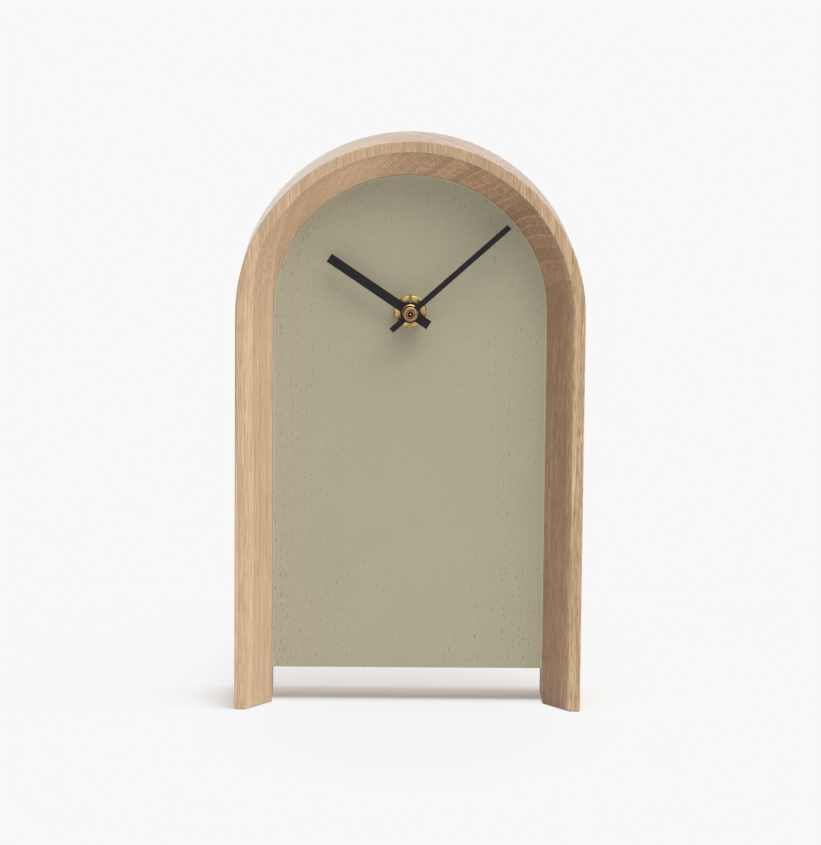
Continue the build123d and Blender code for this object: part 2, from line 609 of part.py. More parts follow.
def third_arbor():
    pinion_front = CENTRE_LEVEL - PINION_OVERHANG
    pinion_back = CENTRE_LEVEL + WHEEL_THICKNESS + PINION_OVERHANG
    arbor = toothed(THIRD_AT, pinion_front, pinion_back, CENTRE_MODULE, THIRD_PINION_TEETH, third_pinion_phase())
    arbor += disc(THIRD_AT, pinion_back, PIVOT_SHOULDER, TRAIN_ARBOR_DIAMETER)
    return arbor + disc(THIRD_AT, PIVOT_SHOULDER, PIVOT_END, TRAIN_PIVOT_DIAMETER)


def third_wheel():
    back = THIRD_LEVEL + WHEEL_THICKNESS
    wheel = toothed(THIRD_AT, THIRD_LEVEL, back, THIRD_MODULE, THIRD_WHEEL_TEETH, 0)
    return wheel - disc(THIRD_AT, THIRD_LEVEL, back, TRAIN_ARBOR_DIAMETER + 2 * PRESS_FIT)


def seconds_arbor():
    pinion_front = THIRD_LEVEL - PINION_OVERHANG
    pinion_back = THIRD_LEVEL + WHEEL_THICKNESS + PINION_OVERHANG
    phase = meshing_phase(0, THIRD_WHEEL_TEETH, THIRD_BEARING + 180, SECONDS_PINION_TEETH)
    arbor = disc(HANDS_AT, SECONDS_TIP, PIVOT_END, SECONDS_ARBOR_DIAMETER)
    return arbor + toothed(HANDS_AT, pinion_front, pinion_back, THIRD_MODULE, SECONDS_PINION_TEETH, phase)


def seconds_wheel():
    back = SECONDS_LEVEL + WHEEL_THICKNESS
    wheel = toothed(HANDS_AT, SECONDS_LEVEL, back, SECONDS_MODULE, SECONDS_WHEEL_TEETH, 0)
    return wheel - disc(HANDS_AT, SECONDS_LEVEL, back, SECONDS_ARBOR_DIAMETER + 2 * PRESS_FIT)


def intermediate_wheel():
    pinion_front = SECONDS_LEVEL - PINION_OVERHANG
    pinion_back = SECONDS_LEVEL + WHEEL_THICKNESS + PINION_OVERHANG
    phase = meshing_phase(0, SECONDS_WHEEL_TEETH, INTERMEDIATE_BEARING, INTERMEDIATE_PINION_TEETH)
    at = INTERMEDIATE_AT
    wheel = toothed(at, THIRD_LEVEL, THIRD_LEVEL + WHEEL_THICKNESS, ROTOR_MODULE, INTERMEDIATE_WHEEL_TEETH, 0)
    wheel += toothed(at, pinion_front, pinion_back, SECONDS_MODULE, INTERMEDIATE_PINION_TEETH, phase)
    wheel += disc(at, THIRD_LEVEL, PIVOT_SHOULDER, TRAIN_ARBOR_DIAMETER)
    wheel += disc(at, PLATE_LEVEL + PIVOT_END_SHAKE, THIRD_LEVEL, TRAIN_PIVOT_DIAMETER)
    return wheel + disc(at, PIVOT_SHOULDER, PIVOT_END, TRAIN_PIVOT_DIAMETER)


def rotor_pinion():
    pinion_front = THIRD_LEVEL - PINION_OVERHANG
    pinion_back = THIRD_LEVEL + WHEEL_THICKNESS + PINION_OVERHANG
    phase = meshing_phase(0, INTERMEDIATE_WHEEL_TEETH, ROTOR_BEARING, ROTOR_PINION_TEETH)
    pinion = toothed(ROTOR_AT, pinion_front, pinion_back, ROTOR_MODULE, ROTOR_PINION_TEETH, phase)
    pinion += disc(ROTOR_AT, pinion_back, PIVOT_SHOULDER, TRAIN_ARBOR_DIAMETER)
    pinion += disc(ROTOR_AT, PLATE_LEVEL + PIVOT_END_SHAKE, pinion_front, TRAIN_PIVOT_DIAMETER)
    return pinion + disc(ROTOR_AT, PIVOT_SHOULDER, PIVOT_END, TRAIN_PIVOT_DIAMETER)


def rotor_magnet():
    bore = TRAIN_ARBOR_DIAMETER + 2 * PRESS_FIT
    return ring(ROTOR_AT, ROTOR_FRONT, ROTOR_FRONT + ROTOR_LENGTH, ROTOR_DIAMETER, bore)


def train_plate():
    """The middle plate: bearings for the train, on the front case's pillars."""
    front, back = PLATE_LEVEL, PLATE_LEVEL + PLATE_THICKNESS
    plate = slab(-PLATE_HALF, PLATE_HALF, front, back, PLATE_BOTTOM, CENTRE_Z + PLATE_TOP)
    holes = [
        (HANDS_AT, MINUTE_JOURNAL_DIAMETER),
        (THIRD_AT, TRAIN_ARBOR_DIAMETER),
        (INTERMEDIATE_AT, TRAIN_PIVOT_DIAMETER),
        (ROTOR_AT, TRAIN_PIVOT_DIAMETER),
        (MOTION_AT, MOTION_ARBOR_DIAMETER + PLATE_GAP),
        *[(at, PILLAR_PIN_DIAMETER) for at in PILLARS_AT],
    ]
    for at, diameter in holes:
        plate -= disc(at, front, back, diameter + 2 * RUNNING_FIT)
    return plate


def stator_core():
    """A flat soft-iron frame: a ring round the rotor, two legs and the bar that carries the coil."""
    front, back = STATOR_FRONT, STATOR_FRONT + STATOR_THICKNESS
    half = STATOR_BAR / 2
    top = COIL_Z + half
    core = disc(ROTOR_AT, front, back, STATOR_RING_DIAMETER)
    core += slab(LEFT_LEG_X - half, ROTOR_AT[0], front, back, ROTOR_AT[1] - half, ROTOR_AT[1] + half)
    core += slab(LEFT_LEG_X - half, LEFT_LEG_X + half, front, back, ROTOR_AT[1] - half, top)
    core += slab(RIGHT_LEG_X - half, RIGHT_LEG_X + half, front, back, ROTOR_AT[1] + half, top)
    bar_half = CORE_WIDTH / 2
    core += slab(LEFT_LEG_X, RIGHT_LEG_X, front, back, COIL_Z - bar_half, COIL_Z + bar_half)
    core -= disc(ROTOR_AT, front, back, ROTOR_DIAMETER + 2 * ROTOR_AIR_GAP)
    for at in STATOR_SCREWS_AT:
        core -= disc(at, front, back, STATOR_SCREW_DIAMETER + 2 * RUNNING_FIT)
    return core


def coil_ends():
    half = STATOR_BAR / 2 + ASSEMBLY_FIT
    return LEFT_LEG_X + half, RIGHT_LEG_X - half


def along_core(left, right, shape):
    """A bar along X round the coil's axis, with a section in the YZ plane."""
    middle = STATOR_FRONT + STATOR_THICKNESS / 2
    plane = Plane(origin=(left, middle, COIL_Z), x_dir=(0, 1, 0), z_dir=(1, 0, 0))
    return extrude(plane * shape, right - left)


def bobbin_barrel():
    grow = 2 * (ASSEMBLY_FIT + BOBBIN_WALL)
    return Rectangle(STATOR_THICKNESS + grow, CORE_WIDTH + grow)


def coil_bobbin():
    left, right = coil_ends()
    hole = Rectangle(STATOR_THICKNESS + 2 * ASSEMBLY_FIT, CORE_WIDTH + 2 * ASSEMBLY_FIT)
    bobbin = along_core(left, right, bobbin_barrel())
    for start in (left, right - BOBBIN_FLANGE):
        bobbin += along_core(start, start + BOBBIN_FLANGE, Circle(COIL_DIAMETER / 2))
    return bobbin - along_core(left, right, hole)


def coil_winding():
    left, right = coil_ends()
    winding = Circle(COIL_DIAMETER / 2 - ASSEMBLY_FIT) - bobbin_barrel()
    return along_core(left + BOBBIN_FLANGE, right - BOBBIN_FLANGE, winding)


def stator_screws():
    back = STATOR_FRONT + STATOR_THICKNESS
    screws = []
    for at in STATOR_SCREWS_AT:
        shank = disc(at, STATOR_FRONT - STATOR_SCREW_DEPTH, back, STATOR_SCREW_DIAMETER)
        screws.append(shank + disc(at, back, back + STATOR_SCREW_HEAD_HEIGHT, STATOR_SCREW_HEAD))
    return Compound(children=screws)


def circuit_board():
    return slab(PCB_LEFT, PCB_RIGHT, PCB_FRONT, PCB_REAR, PCB_BOTTOM, PCB_TOP)


def quartz_crystal():
    radius = CRYSTAL_DIAMETER / 2
    right = PCB_RIGHT - 2 * CRYSTAL_DIAMETER
    at = (right - CRYSTAL_LENGTH, PCB_FRONT - radius, PCB_TOP - 2 * CRYSTAL_DIAMETER)
    return extrude(Plane(origin=at, z_dir=(1, 0, 0)) * Circle(radius), CRYSTAL_LENGTH)


def driver_chip():
    x0 = (PCB_LEFT + PCB_RIGHT - CHIP_SIDE) / 2
    z0 = PCB_BOTTOM + PCB_INSET
    return slab(x0, x0 + CHIP_SIDE, PCB_FRONT - CHIP_HEIGHT, PCB_FRONT, z0, z0 + CHIP_SIDE)


def battery_cell():
    """A round AA cell lying along X, its raised end to the right."""
    radius, nub = CELL_DIAMETER / 2, CELL_NUB_DIAMETER / 2
    shoulder = CELL_RIGHT - CELL_NUB_LENGTH
    plane = Plane(origin=(CELL_LEFT, CELL_Y, CELL_Z), z_dir=(1, 0, 0))
    can = extrude(plane * Circle(radius), shoulder - CELL_LEFT)
    can = fillet(can.edges().filter_by(GeomType.CIRCLE), CELL_EDGE_ROUND)
    return can + extrude(plane.offset(shoulder - CELL_LEFT) * Circle(nub), CELL_NUB_LENGTH)


def contact_positive():
    half = CONTACT_WIDTH / 2
    left = INSIDE_HALF - CONTACT_THICKNESS
    return slab(left, INSIDE_HALF, CELL_Y - half, CELL_Y + half, CELL_Z - half, CELL_Z + half)


def contact_negative():
    """A folded strip: one leaf on the case wall, one against the cell's flat end, joined at the top."""
    half = CONTACT_WIDTH / 2
    wall, cell = -INSIDE_HALF, CELL_LEFT - CONTACT_GAP
    front, back = CELL_Y - half, CELL_Y + half
    top = CELL_Z + half
    strip = slab(wall, wall + CONTACT_THICKNESS, front, back, CELL_Z - half, top)
    strip += slab(cell - CONTACT_THICKNESS, cell, front, back, CELL_Z - half, top)
    return strip + slab(wall, cell, front, back, top - CONTACT_THICKNESS, top)


PIECES = [
    oak_frame,
    painted_board,
    front_case,
    rear_cover,
    threaded_bush,
    rubber_washer,
    ring_nut,
    hour_hand,
    hour_collet,
    hour_wheel,
    minute_hand,
    minute_nut,
    minute_arbor,
    motion_wheel,
    setting_knob,
    centre_wheel,
    clutch_spring,
    clutch_collar,
    third_arbor,
    third_wheel,
    seconds_arbor,
    seconds_wheel,
    intermediate_wheel,
    rotor_pinion,
    rotor_magnet,
    train_plate,
    stator_core,
    coil_bobbin,
    coil_winding,
    stator_screws,
    circuit_board,
    quartz_crystal,
    driver_chip,
    battery_cell,
    contact_positive,
    contact_negative,
]

os.makedirs("parts", exist_ok=True)
for piece in PIECES:
    export_step(piece(), f"parts/{piece.__name__}.step")
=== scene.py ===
"""Looks of the arched shelf clock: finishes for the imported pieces, moulded marks on its back and a stage."""

import json
import math

import bmesh
import bpy
from mathutils import Matrix, Vector


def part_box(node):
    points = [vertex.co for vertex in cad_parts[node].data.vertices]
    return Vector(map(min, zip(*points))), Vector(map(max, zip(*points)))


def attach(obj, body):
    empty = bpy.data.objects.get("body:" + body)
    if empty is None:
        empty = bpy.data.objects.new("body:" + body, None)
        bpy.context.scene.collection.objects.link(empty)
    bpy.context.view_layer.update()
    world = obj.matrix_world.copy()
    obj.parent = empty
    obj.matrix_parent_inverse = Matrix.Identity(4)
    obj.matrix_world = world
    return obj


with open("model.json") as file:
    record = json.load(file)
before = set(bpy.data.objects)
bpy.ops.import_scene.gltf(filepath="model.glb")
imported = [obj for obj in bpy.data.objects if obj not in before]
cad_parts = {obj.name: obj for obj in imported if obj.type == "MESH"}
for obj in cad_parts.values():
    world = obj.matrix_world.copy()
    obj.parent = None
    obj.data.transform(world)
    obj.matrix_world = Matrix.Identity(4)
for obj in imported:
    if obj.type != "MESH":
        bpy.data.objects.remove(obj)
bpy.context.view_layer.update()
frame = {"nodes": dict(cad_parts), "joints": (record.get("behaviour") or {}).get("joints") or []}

bl_info = {
    "name": "Arched shelf clock",
    "version": (1, 0, 0),
    "blender": (4, 5, 0),
    "location": "View3D > Sidebar > Clock",
    "description": "Finishes and stage for an arched oak shelf clock",
    "category": "Object",
}

MM = 0.001
HUB = Vector(next(joint["pos_m"] for joint in frame["joints"] if joint["name"] == "minute_spin"))
KNOB = Vector(next(joint["pos_m"] for joint in frame["joints"] if joint["name"] == "setting_spin"))
COVER_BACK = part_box("rear_cover")[1].y
CELL_LOW, CELL_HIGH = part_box("battery_cell")
FRAME_LOW, FRAME_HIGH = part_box("oak_frame")
BOARD_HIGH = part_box("painted_board")[1]

RING_NORMAL = Vector((0.83, 0.56, 0.0)).normalized()
RAY_NORMAL = Vector((0.875, -0.485, 0.0)).normalized()


def linear(code):
    """An sRGB hex value as a linear RGBA colour."""
    parts = [int(code[i : i + 2], 16) / 255 for i in (1, 3, 5)]
    return tuple(c / 12.92 if c <= 0.04045 else ((c + 0.055) / 1.055) ** 2.4 for c in parts) + (1.0,)


def colour(name, description, code):
    default = linear(code)
    return bpy.props.FloatVectorProperty(
        name=name, description=description, subtype="COLOR", size=4, min=0.0, max=1.0, default=default
    )


def add(tree, kind, inputs=None, **settings):
    """A shader node with its settings; inputs are values, or sockets to link from."""
    made = tree.nodes.new("ShaderNode" + kind)
    for name, value in settings.items():
        setattr(made, name, value)
    for socket, value in (inputs or {}).items():
        if isinstance(value, bpy.types.NodeSocket):
            tree.links.new(value, made.inputs[socket])
        else:
            made.inputs[socket].default_value = value
    return made


def new_material(name):
    """A material with its tree, its Principled shader and its object coordinates in millimetres."""
    material = bpy.data.materials.new(name)
    material.use_nodes = True
    tree = material.node_tree
    place = add(tree, "TexCoord").outputs["Object"]
    to_mm = (1 / MM,) * 3
    place = add(tree, "VectorMath", {0: place, 1: to_mm}, operation="MULTIPLY").outputs[0]
    return material, tree, tree.nodes["Principled BSDF"], place


def feed(tree, shader, **sockets):
    """Links sockets to the shader's inputs, whose names have spaces where these have underscores."""
    for name, socket in sockets.items():
        tree.links.new(socket, shader.inputs[name.replace("_", " ")])


def dress(material, *names):
    """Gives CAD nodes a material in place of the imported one."""
    for name in names:
        slots = frame["nodes"][name].data.materials
        slots.clear()
        slots.append(material)


class OakSettings(bpy.types.PropertyGroup):
    pale: colour("Oak", "Oiled oak along the grain", "#D9BB99")
    brown: colour("Ring", "Browner wood at the start of each growth ring", "#C4A07A")
    line: colour("Ring line", "Pale line between growth rings", "#DFC3A2")
    pore: colour("Pores", "Open pores and end-grain comb", "#8C5C40")
    outer: colour("Outer wood", "Tint of the wood on the left, towards the bark", "#FFFFFE")
    heart: colour("Heartwood", "Tint of the wood on the right, towards the tree's heart", "#EAE7E2")
    inner_heart: colour("Inner heartwood", "Tint of the wood behind the front of the right leg", "#D7C8C2")
    end_grain: colour("End grain", "Tint of the wood where it is cut across", "#FBF6F2")
    bleached: colour("Bleached", "Wood on the faces that look up, paled by daylight", "#B3AAA1")
    ring_width: bpy.props.FloatProperty(
        name="Ring width", description="Growth ring width in mm at the middle", default=4.4, min=0.5, max=12.0
    )


class PaintSettings(bpy.types.PropertyGroup):
    sage: colour("Sage", "Matt sage paint", "#B3AD94")
    pore: colour("Pores", "Pores that the paint has not filled", "#7D7862")


class MetalSettings(bpy.types.PropertyGroup):
    brass: colour("Brass", "Turned brass of the ring nut and bush", "#D3B37A")
    collet: colour("Collet", "Browner satin brass of the hour collet", "#B58F5E")
    nut: colour("Minute nut", "Browner brass of the minute nut and arbor", "#A3835C")
    mouth: colour("Mouth", "Dull brass in the nut's mouth", "#4C3722")
    bore: colour("Bore", "Oxide left in the arbor's bore", "#050404")
    black: colour("Hands", "Matt black lacquer on the hands", "#1B1B1D")


class MovementSettings(bpy.types.PropertyGroup):
    case: colour("Case", "Moulded black case", "#1C1C1E")
    wheels: colour("Wheels", "Moulded white wheels and plate", "#E4E3DC")
    sleeve: colour("Cell sleeve", "Plain sleeve of the cell", "#6E777B")
    mark_rise: bpy.props.FloatProperty(
        name="Mark rise", description="Height of the moulded marks on the cover", subtype="DISTANCE",
        default=0.3 * MM, min=0.1 * MM, max=1.0 * MM,
    )


class StageSettings(bpy.types.PropertyGroup):
    floor: colour("Floor", "Pale floor", "#DEDEDE")
    bounce: colour("Bounce", "White card under the clock, warmed by light off the oak", "#F8E9DE")
    backdrop: colour("Backdrop", "What the camera and mirrors see beyond the lit floor", "#F8F8F8")
    overhead: bpy.props.FloatProperty(
        name="Overhead light", description="Large soft light almost overhead", subtype="POWER",
        default=44.5, min=0.0,
    )
    right: bpy.props.FloatProperty(
        name="Right light", description="Soft light high on the right", subtype="POWER",
        default=42.5, min=0.0,
    )
    fill: bpy.props.FloatProperty(
        name="Fill light", description="Weak broad light from the front", subtype="POWER",
        default=11.0, min=0.0,
    )
    sky: bpy.props.FloatProperty(
        name="Sky", description="Light from all round", default=0.02, min=0.0, max=1.0
    )


def growth_rings(tree, place, ring_width):
    """Growth rings as upright sheets that sway a few mm, so every cut through them agrees. Gives the place
    within a ring, a random value for its year, its pale line, and the distance in mm along the rays."""
    sway = add(tree, "VectorMath", {0: place, 1: (1 / 60, 1 / 60, 1 / 240)}, operation="MULTIPLY").outputs[0]
    sway = add(tree, "TexNoise", {"Vector": sway, "Scale": 1.0, "Detail": 2.0}).outputs["Fac"]
    distances = []
    for normal, sway_mm in ((RING_NORMAL, 9.0), (RAY_NORMAL, 5.0)):
        distance = add(tree, "VectorMath", {0: place, 1: normal}, operation="DOT_PRODUCT").outputs["Value"]
        swayed = {0: sway, 1: sway_mm, 2: distance}
        distances.append(add(tree, "Math", swayed, operation="MULTIPLY_ADD").outputs[0])
    radial, rays = distances
    ring = add(tree, "Math", {0: radial, 1: ring_width}, operation="DIVIDE").outputs[0]
    # They crowd towards the heart: half as wide 50 mm to the right of the middle
    crowding = 0.0023
    inward = add(tree, "Math", {0: radial, 1: 0.0}, operation="MAXIMUM").outputs[0]
    inward = add(tree, "Math", {0: inward, 1: inward}, operation="MULTIPLY").outputs[0]
    ring = add(tree, "Math", {0: inward, 1: crowding, 2: ring}, operation="MULTIPLY_ADD").outputs[0]
    within = add(tree, "Math", {0: ring}, operation="FRACT").outputs[0]
    number = add(tree, "Math", {0: ring}, operation="FLOOR").outputs[0]
    year = add(tree, "TexWhiteNoise", {"W": number}, noise_dimensions="1D").outputs["Value"]
    line_share = 0.24
    line = {"Value": within, "From Max": line_share, "To Min": 1.0, "To Max": 0.0}
    line = add(tree, "MapRange", line).outputs[0]
    return within, year, line, rays


def oak_fibres(tree, place, axes):
    """Upright flecks, fine streaks, broad streaks and pores, which lean a degree or two from place to place.
    Flecks are drawn 0.34 mm wide and pores 0.5 mm, because real ones of 0.2 mm would not show."""
    lean = add(tree, "VectorMath", {0: place, 1: (1 / 25, 1 / 25, 1 / 90)}, operation="MULTIPLY").outputs[0]
    lean = add(tree, "TexNoise", {"Vector": lean, "Scale": 1.0, "Detail": 1.0}).outputs["Color"]
    lean_mm = (8.0, 8.0, 0.0)
    fibre = add(tree, "VectorMath", {0: lean, 1: lean_mm, 2: place}, operation="MULTIPLY_ADD").outputs[0]
    # Flecks are 14 mm long on the left and 7 mm on the right
    length = {"Value": axes["X"], "From Min": -50.0, "From Max": 50.0, "To Min": 1 / 14, "To Max": 1 / 7}
    length = add(tree, "MapRange", length).outputs[0]
    flecks = add(tree, "CombineXYZ", {"X": 1 / 0.34, "Y": 1 / 0.34, "Z": length}).outputs[0]
    fine = (1 / 0.8, 1 / 0.8, 1 / 36)
    broad = (1 / 3.0, 1 / 3.0, 1 / 120)
    pores = (1 / 0.5, 1 / 0.5, 1 / 5)
    patterns = []
    for scale, detail in ((flecks, 1.0), (fine, 3.0), (broad, 2.0), (pores, 0.0)):
        scaled = add(tree, "VectorMath", {0: fibre, 1: scale}, operation="MULTIPLY").outputs[0]
        noise = {"Vector": scaled, "Scale": 1.0, "Detail": detail}
        patterns.append(add(tree, "TexNoise", noise).outputs["Fac"])
    flecks, fine, broad, pores = patterns
    pores = add(tree, "MapRange", {"Value": pores, "From Min": 0.6, "From Max": 0.72}).outputs[0]
    return flecks, fine, broad, pores


def end_comb(tree, place, rays, year):
    """The comb of pores in end grain: it wavers along the rays, starts anew in each ring and comes in patches.
    It is drawn 1.4 mm apart so that it shows."""
    pitch, waver_mm, start_mm = 1.4, 1.2, 5.0
    waver = add(tree, "TexNoise", {"Vector": place, "Scale": 1 / 7, "Detail": 1.0}).outputs["Fac"]
    comb = add(tree, "Math", {0: waver, 1: waver_mm, 2: rays}, operation="MULTIPLY_ADD").outputs[0]
    comb = add(tree, "Math", {0: year, 1: start_mm, 2: comb}, operation="MULTIPLY_ADD").outputs[0]
    comb = add(tree, "Math", {0: comb, 1: math.tau / pitch}, operation="MULTIPLY").outputs[0]
    comb = add(tree, "Math", {0: comb}, operation="SINE").outputs[0]
    comb = add(tree, "MapRange", {"Value": comb, "From Min": -0.2, "From Max": 0.9}).outputs[0]
    patchy = add(tree, "TexNoise", {"Vector": place, "Scale": 1 / 2.5, "Detail": 1.0}).outputs["Fac"]
    patchy = add(tree, "MapRange", {"Value": patchy, "From Min": 0.25, "From Max": 0.6}).outputs[0]
    return add(tree, "Math", {0: comb, 1: patchy}, operation="MULTIPLY").outputs[0]


def oak_tints(tree, settings, axes, rightward, cut):
    """Slow changes of tone through the plank, as factors to multiply by."""
    # Sapwood in the front of the legs is paler than the wood behind it; up in the arch it is not
    skin = FRAME_LOW.y / MM
    sap = {"Value": axes["Y"], "From Min": skin, "From Max": skin + 4.0, "To Min": 1.0, "To Max": -1.0}
    sap = add(tree, "MapRange", sap).outputs[0]
    front = add(tree, "MapRange", {"Value": sap, "From Min": -1.0}).outputs[0]
    legs = {"Value": axes["Z"], "From Min": 185.0, "From Max": 255.0, "To Min": 0.09, "To Max": -0.11}
    legs = add(tree, "MapRange", legs).outputs[0]
    sap = add(tree, "Math", {0: sap, 1: legs, 2: 1.0}, operation="MULTIPLY_ADD").outputs[0]
    heart = {"Factor": front, "A": settings.inner_heart, "B": settings.heart}
    heart = add(tree, "Mix", heart, data_type="RGBA").outputs["Result"]
    tint = {"Factor": rightward, "A": settings.outer, "B": heart}
    tint = add(tree, "Mix", tint, data_type="RGBA").outputs["Result"]
    # End grain drinks more oil, and most on the right
    oiled = {"Value": axes["X"], "From Max": 50.0, "To Min": 0.01, "To Max": -0.13}
    oiled = add(tree, "MapRange", oiled).outputs[0]
    oiled = add(tree, "Math", {0: oiled, 1: cut, 2: 1.0}, operation="MULTIPLY_ADD").outputs[0]
    end_tint = {"Factor": cut, "A": (1.0, 1.0, 1.0, 1.0), "B": settings.end_grain}
    end_tint = add(tree, "Mix", end_tint, data_type="RGBA").outputs["Result"]
    return tint, sap, oiled, end_tint


def streak_shades(tree, rightward, flecks, fine, broad):
    """The streaks as factors to multiply by, stronger to the right. Darker streaks are browner ones."""
    browner = (0.85, 1.1, 1.3)
    contrast = add(tree, "MapRange", {"Value": rightward, "To Min": 1.15, "To Max": 1.75}).outputs[0]
    shades = []
    for pattern, spread in ((flecks, 0.13), (fine, 0.1), (broad, 0.06)):
        swing = {"Value": pattern, "From Min": 0.3, "From Max": 0.7, "To Min": -spread, "To Max": spread}
        swing = add(tree, "MapRange", swing).outputs[0]
        swing = add(tree, "Math", {0: swing, 1: contrast}, operation="MULTIPLY").outputs[0]
        shade = {0: swing, 1: browner, 2: (1.0, 1.0, 1.0)}
        shades.append(add(tree, "VectorMath", shade, operation="MULTIPLY_ADD").outputs[0])
    return shades


def planed_oak(settings):
    """Oak, planed and oiled, cut with its fibres upright. The eye sees fine upright streaks and short
    pores on the long faces, and on the arch, where it is cut across, pale ring lines crossed by a comb
    of pores and rays."""
    material, tree, shader, place = new_material("oak_planed_oiled")
    axes = add(tree, "SeparateXYZ", {0: place}).outputs
    rightward = {"Value": axes["X"], "From Min": -25.0, "From Max": FRAME_HIGH.x / MM}
    rightward = add(tree, "MapRange", rightward).outputs[0]
    # 1 where a face is cut across the fibres, 0 where it runs along them
    upward = add(tree, "SeparateXYZ", {0: add(tree, "NewGeometry").outputs["Normal"]}).outputs["Z"]
    cut = add(tree, "Math", {0: upward}, operation="ABSOLUTE").outputs[0]
    cut = add(tree, "MapRange", {"Value": cut, "From Min": 0.15, "From Max": 0.5}).outputs[0]
    along = add(tree, "Math", {0: 1.0, 1: cut}, operation="SUBTRACT").outputs[0]
    # The saw left the end grain open from the crown to the right; on the left it was sanded shut
    opened = {"Value": axes["X"], "From Min": -18.0, "From Max": 8.0, "To Min": 0.06, "To Max": 1.0}
    opened = add(tree, "MapRange", opened).outputs[0]
    opened = add(tree, "Math", {0: opened, 1: cut}, operation="MULTIPLY").outputs[0]

    within, year, line, rays = growth_rings(tree, place, settings.ring_width)
    flecks, fine, broad, pores = oak_fibres(tree, place, axes)
    comb = end_comb(tree, place, rays, year)
    comb = add(tree, "Math", {0: comb, 1: opened}, operation="MULTIPLY").outputs[0]

    early = add(tree, "MapRange", {"Value": within, "To Min": 0.4, "To Max": 0.2}).outputs[0]
    tone = {"Factor": early, "A": settings.pale, "B": settings.brown}
    tone = add(tree, "Mix", tone, data_type="RGBA").outputs["Result"]
    for factor in oak_tints(tree, settings, axes, rightward, cut):
        tone = add(tree, "VectorMath", {0: tone, 1: factor}, operation="MULTIPLY").outputs[0]
    bleach = {"Value": upward, "From Min": 0.2, "From Max": 0.8, "To Max": 0.6}
    bleach = add(tree, "MapRange", bleach).outputs[0]
    tone = {"Factor": bleach, "A": tone, "B": settings.bleached}
    tone = add(tree, "Mix", tone, data_type="RGBA").outputs["Result"]
    spread = add(tree, "MapRange", {"Value": opened, "To Min": 0.12, "To Max": 0.3}).outputs[0]
    good_year = add(tree, "Math", {0: year, 1: 0.5}, operation="SUBTRACT").outputs[0]
    good_year = add(tree, "Math", {0: good_year, 1: spread, 2: 1.0}, operation="MULTIPLY_ADD").outputs[0]
    for factor in (*streak_shades(tree, rightward, flecks, fine, broad), good_year):
        tone = add(tree, "VectorMath", {0: tone, 1: factor}, operation="MULTIPLY").outputs[0]

    # Pores and ring lines darken the long faces, and the comb darkens the end grain
    line_weight, comb_weight, pore_depth = 0.6, 3.2, 0.3
    open_pores = add(tree, "MapRange", {"Value": rightward, "To Min": 0.6, "To Max": 1.4}).outputs[0]
    pores = add(tree, "Math", {0: pores, 1: open_pores}, operation="MULTIPLY").outputs[0]
    dark = add(tree, "Math", {0: line, 1: line_weight, 2: pores}, operation="MULTIPLY_ADD").outputs[0]
    dark = add(tree, "Math", {0: dark, 1: along}, operation="MULTIPLY").outputs[0]
    dark = add(tree, "Math", {0: comb, 1: comb_weight, 2: dark}, operation="MULTIPLY_ADD").outputs[0]
    dark = add(tree, "Math", {0: dark, 1: pore_depth}, operation="MULTIPLY").outputs[0]
    tone = {"Factor": dark, "A": tone, "B": settings.pore}
    tone = add(tree, "Mix", tone, data_type="RGBA").outputs["Result"]
    # The comb breaks the pale ring lines into dashes, and they go on further to the left than it does
    lined = {"Value": axes["X"], "From Min": -60.0, "From Max": 0.0, "To Min": 0.05, "To Max": 1.0}
    lined = add(tree, "MapRange", lined).outputs[0]
    between = add(tree, "Math", {0: 1.0, 1: comb}, operation="SUBTRACT").outputs[0]
    amount = add(tree, "MapRange", {"Value": year, "To Min": 0.2, "To Max": 0.9}).outputs[0]
    for factor in (lined, cut, line, between):
        amount = add(tree, "Math", {0: amount, 1: factor}, operation="MULTIPLY").outputs[0]
    tone = {"Factor": amount, "A": tone, "B": settings.line}
    tone = add(tree, "Mix", tone, data_type="RGBA").outputs["Result"]

    rough = add(tree, "MapRange", {"Value": fine, "To Min": 0.42, "To Max": 0.58}).outputs[0]
    height = add(tree, "Math", {0: dark, 1: -1.5, 2: fine}, operation="MULTIPLY_ADD").outputs[0]
    bump = add(tree, "Bump", {"Height": height, "Strength": 0.25, "Distance": 0.07 * MM}).outputs[0]
    feed(tree, shader, Base_Color=tone, Roughness=rough, Normal=bump)
    shader.inputs["Specular IOR Level"].default_value = 0.45
    shader.inputs["Sheen Weight"].default_value = 0.4
    shader.inputs["Sheen Roughness"].default_value = 0.4
    return material


def open_share(tree, axes, face):
    """The share of pores that the paint left open: more towards the sides and both ends, where the veneer's
    grain runs closer, and more in some upright streaks than in others."""
    outward = add(tree, "Math", {0: axes["X"]}, operation="ABSOLUTE").outputs[0]
    share = {"Value": outward, "From Min": 8.0, "From Max": 50.0, "To Min": 0.13, "To Max": 0.56}
    share = add(tree, "MapRange", share).outputs[0]
    low = {"Value": axes["Z"], "From Min": 20.0, "From Max": 90.0, "To Min": 0.25, "To Max": 0.0}
    high = {"Value": axes["Z"], "From Min": 205.0, "From Max": 235.0, "To Min": 0.0, "To Max": 0.3}
    for near_end in (low, high):
        near_end = add(tree, "MapRange", near_end).outputs[0]
        share = add(tree, "Math", {0: share, 1: near_end}, operation="ADD").outputs[0]
    streak = add(tree, "VectorMath", {0: face, 1: (1 / 4, 1 / 200, 0)}, operation="MULTIPLY").outputs[0]
    streak = add(tree, "TexNoise", {"Vector": streak, "Scale": 1.0, "Detail": 1.0}).outputs["Fac"]
    streak = {"Value": streak, "From Min": 0.3, "From Max": 0.7, "To Min": 0.4, "To Max": 1.5}
    streak = add(tree, "MapRange", streak).outputs[0]
    return add(tree, "Math", {0: share, 1: streak}, operation="MULTIPLY").outputs[0]


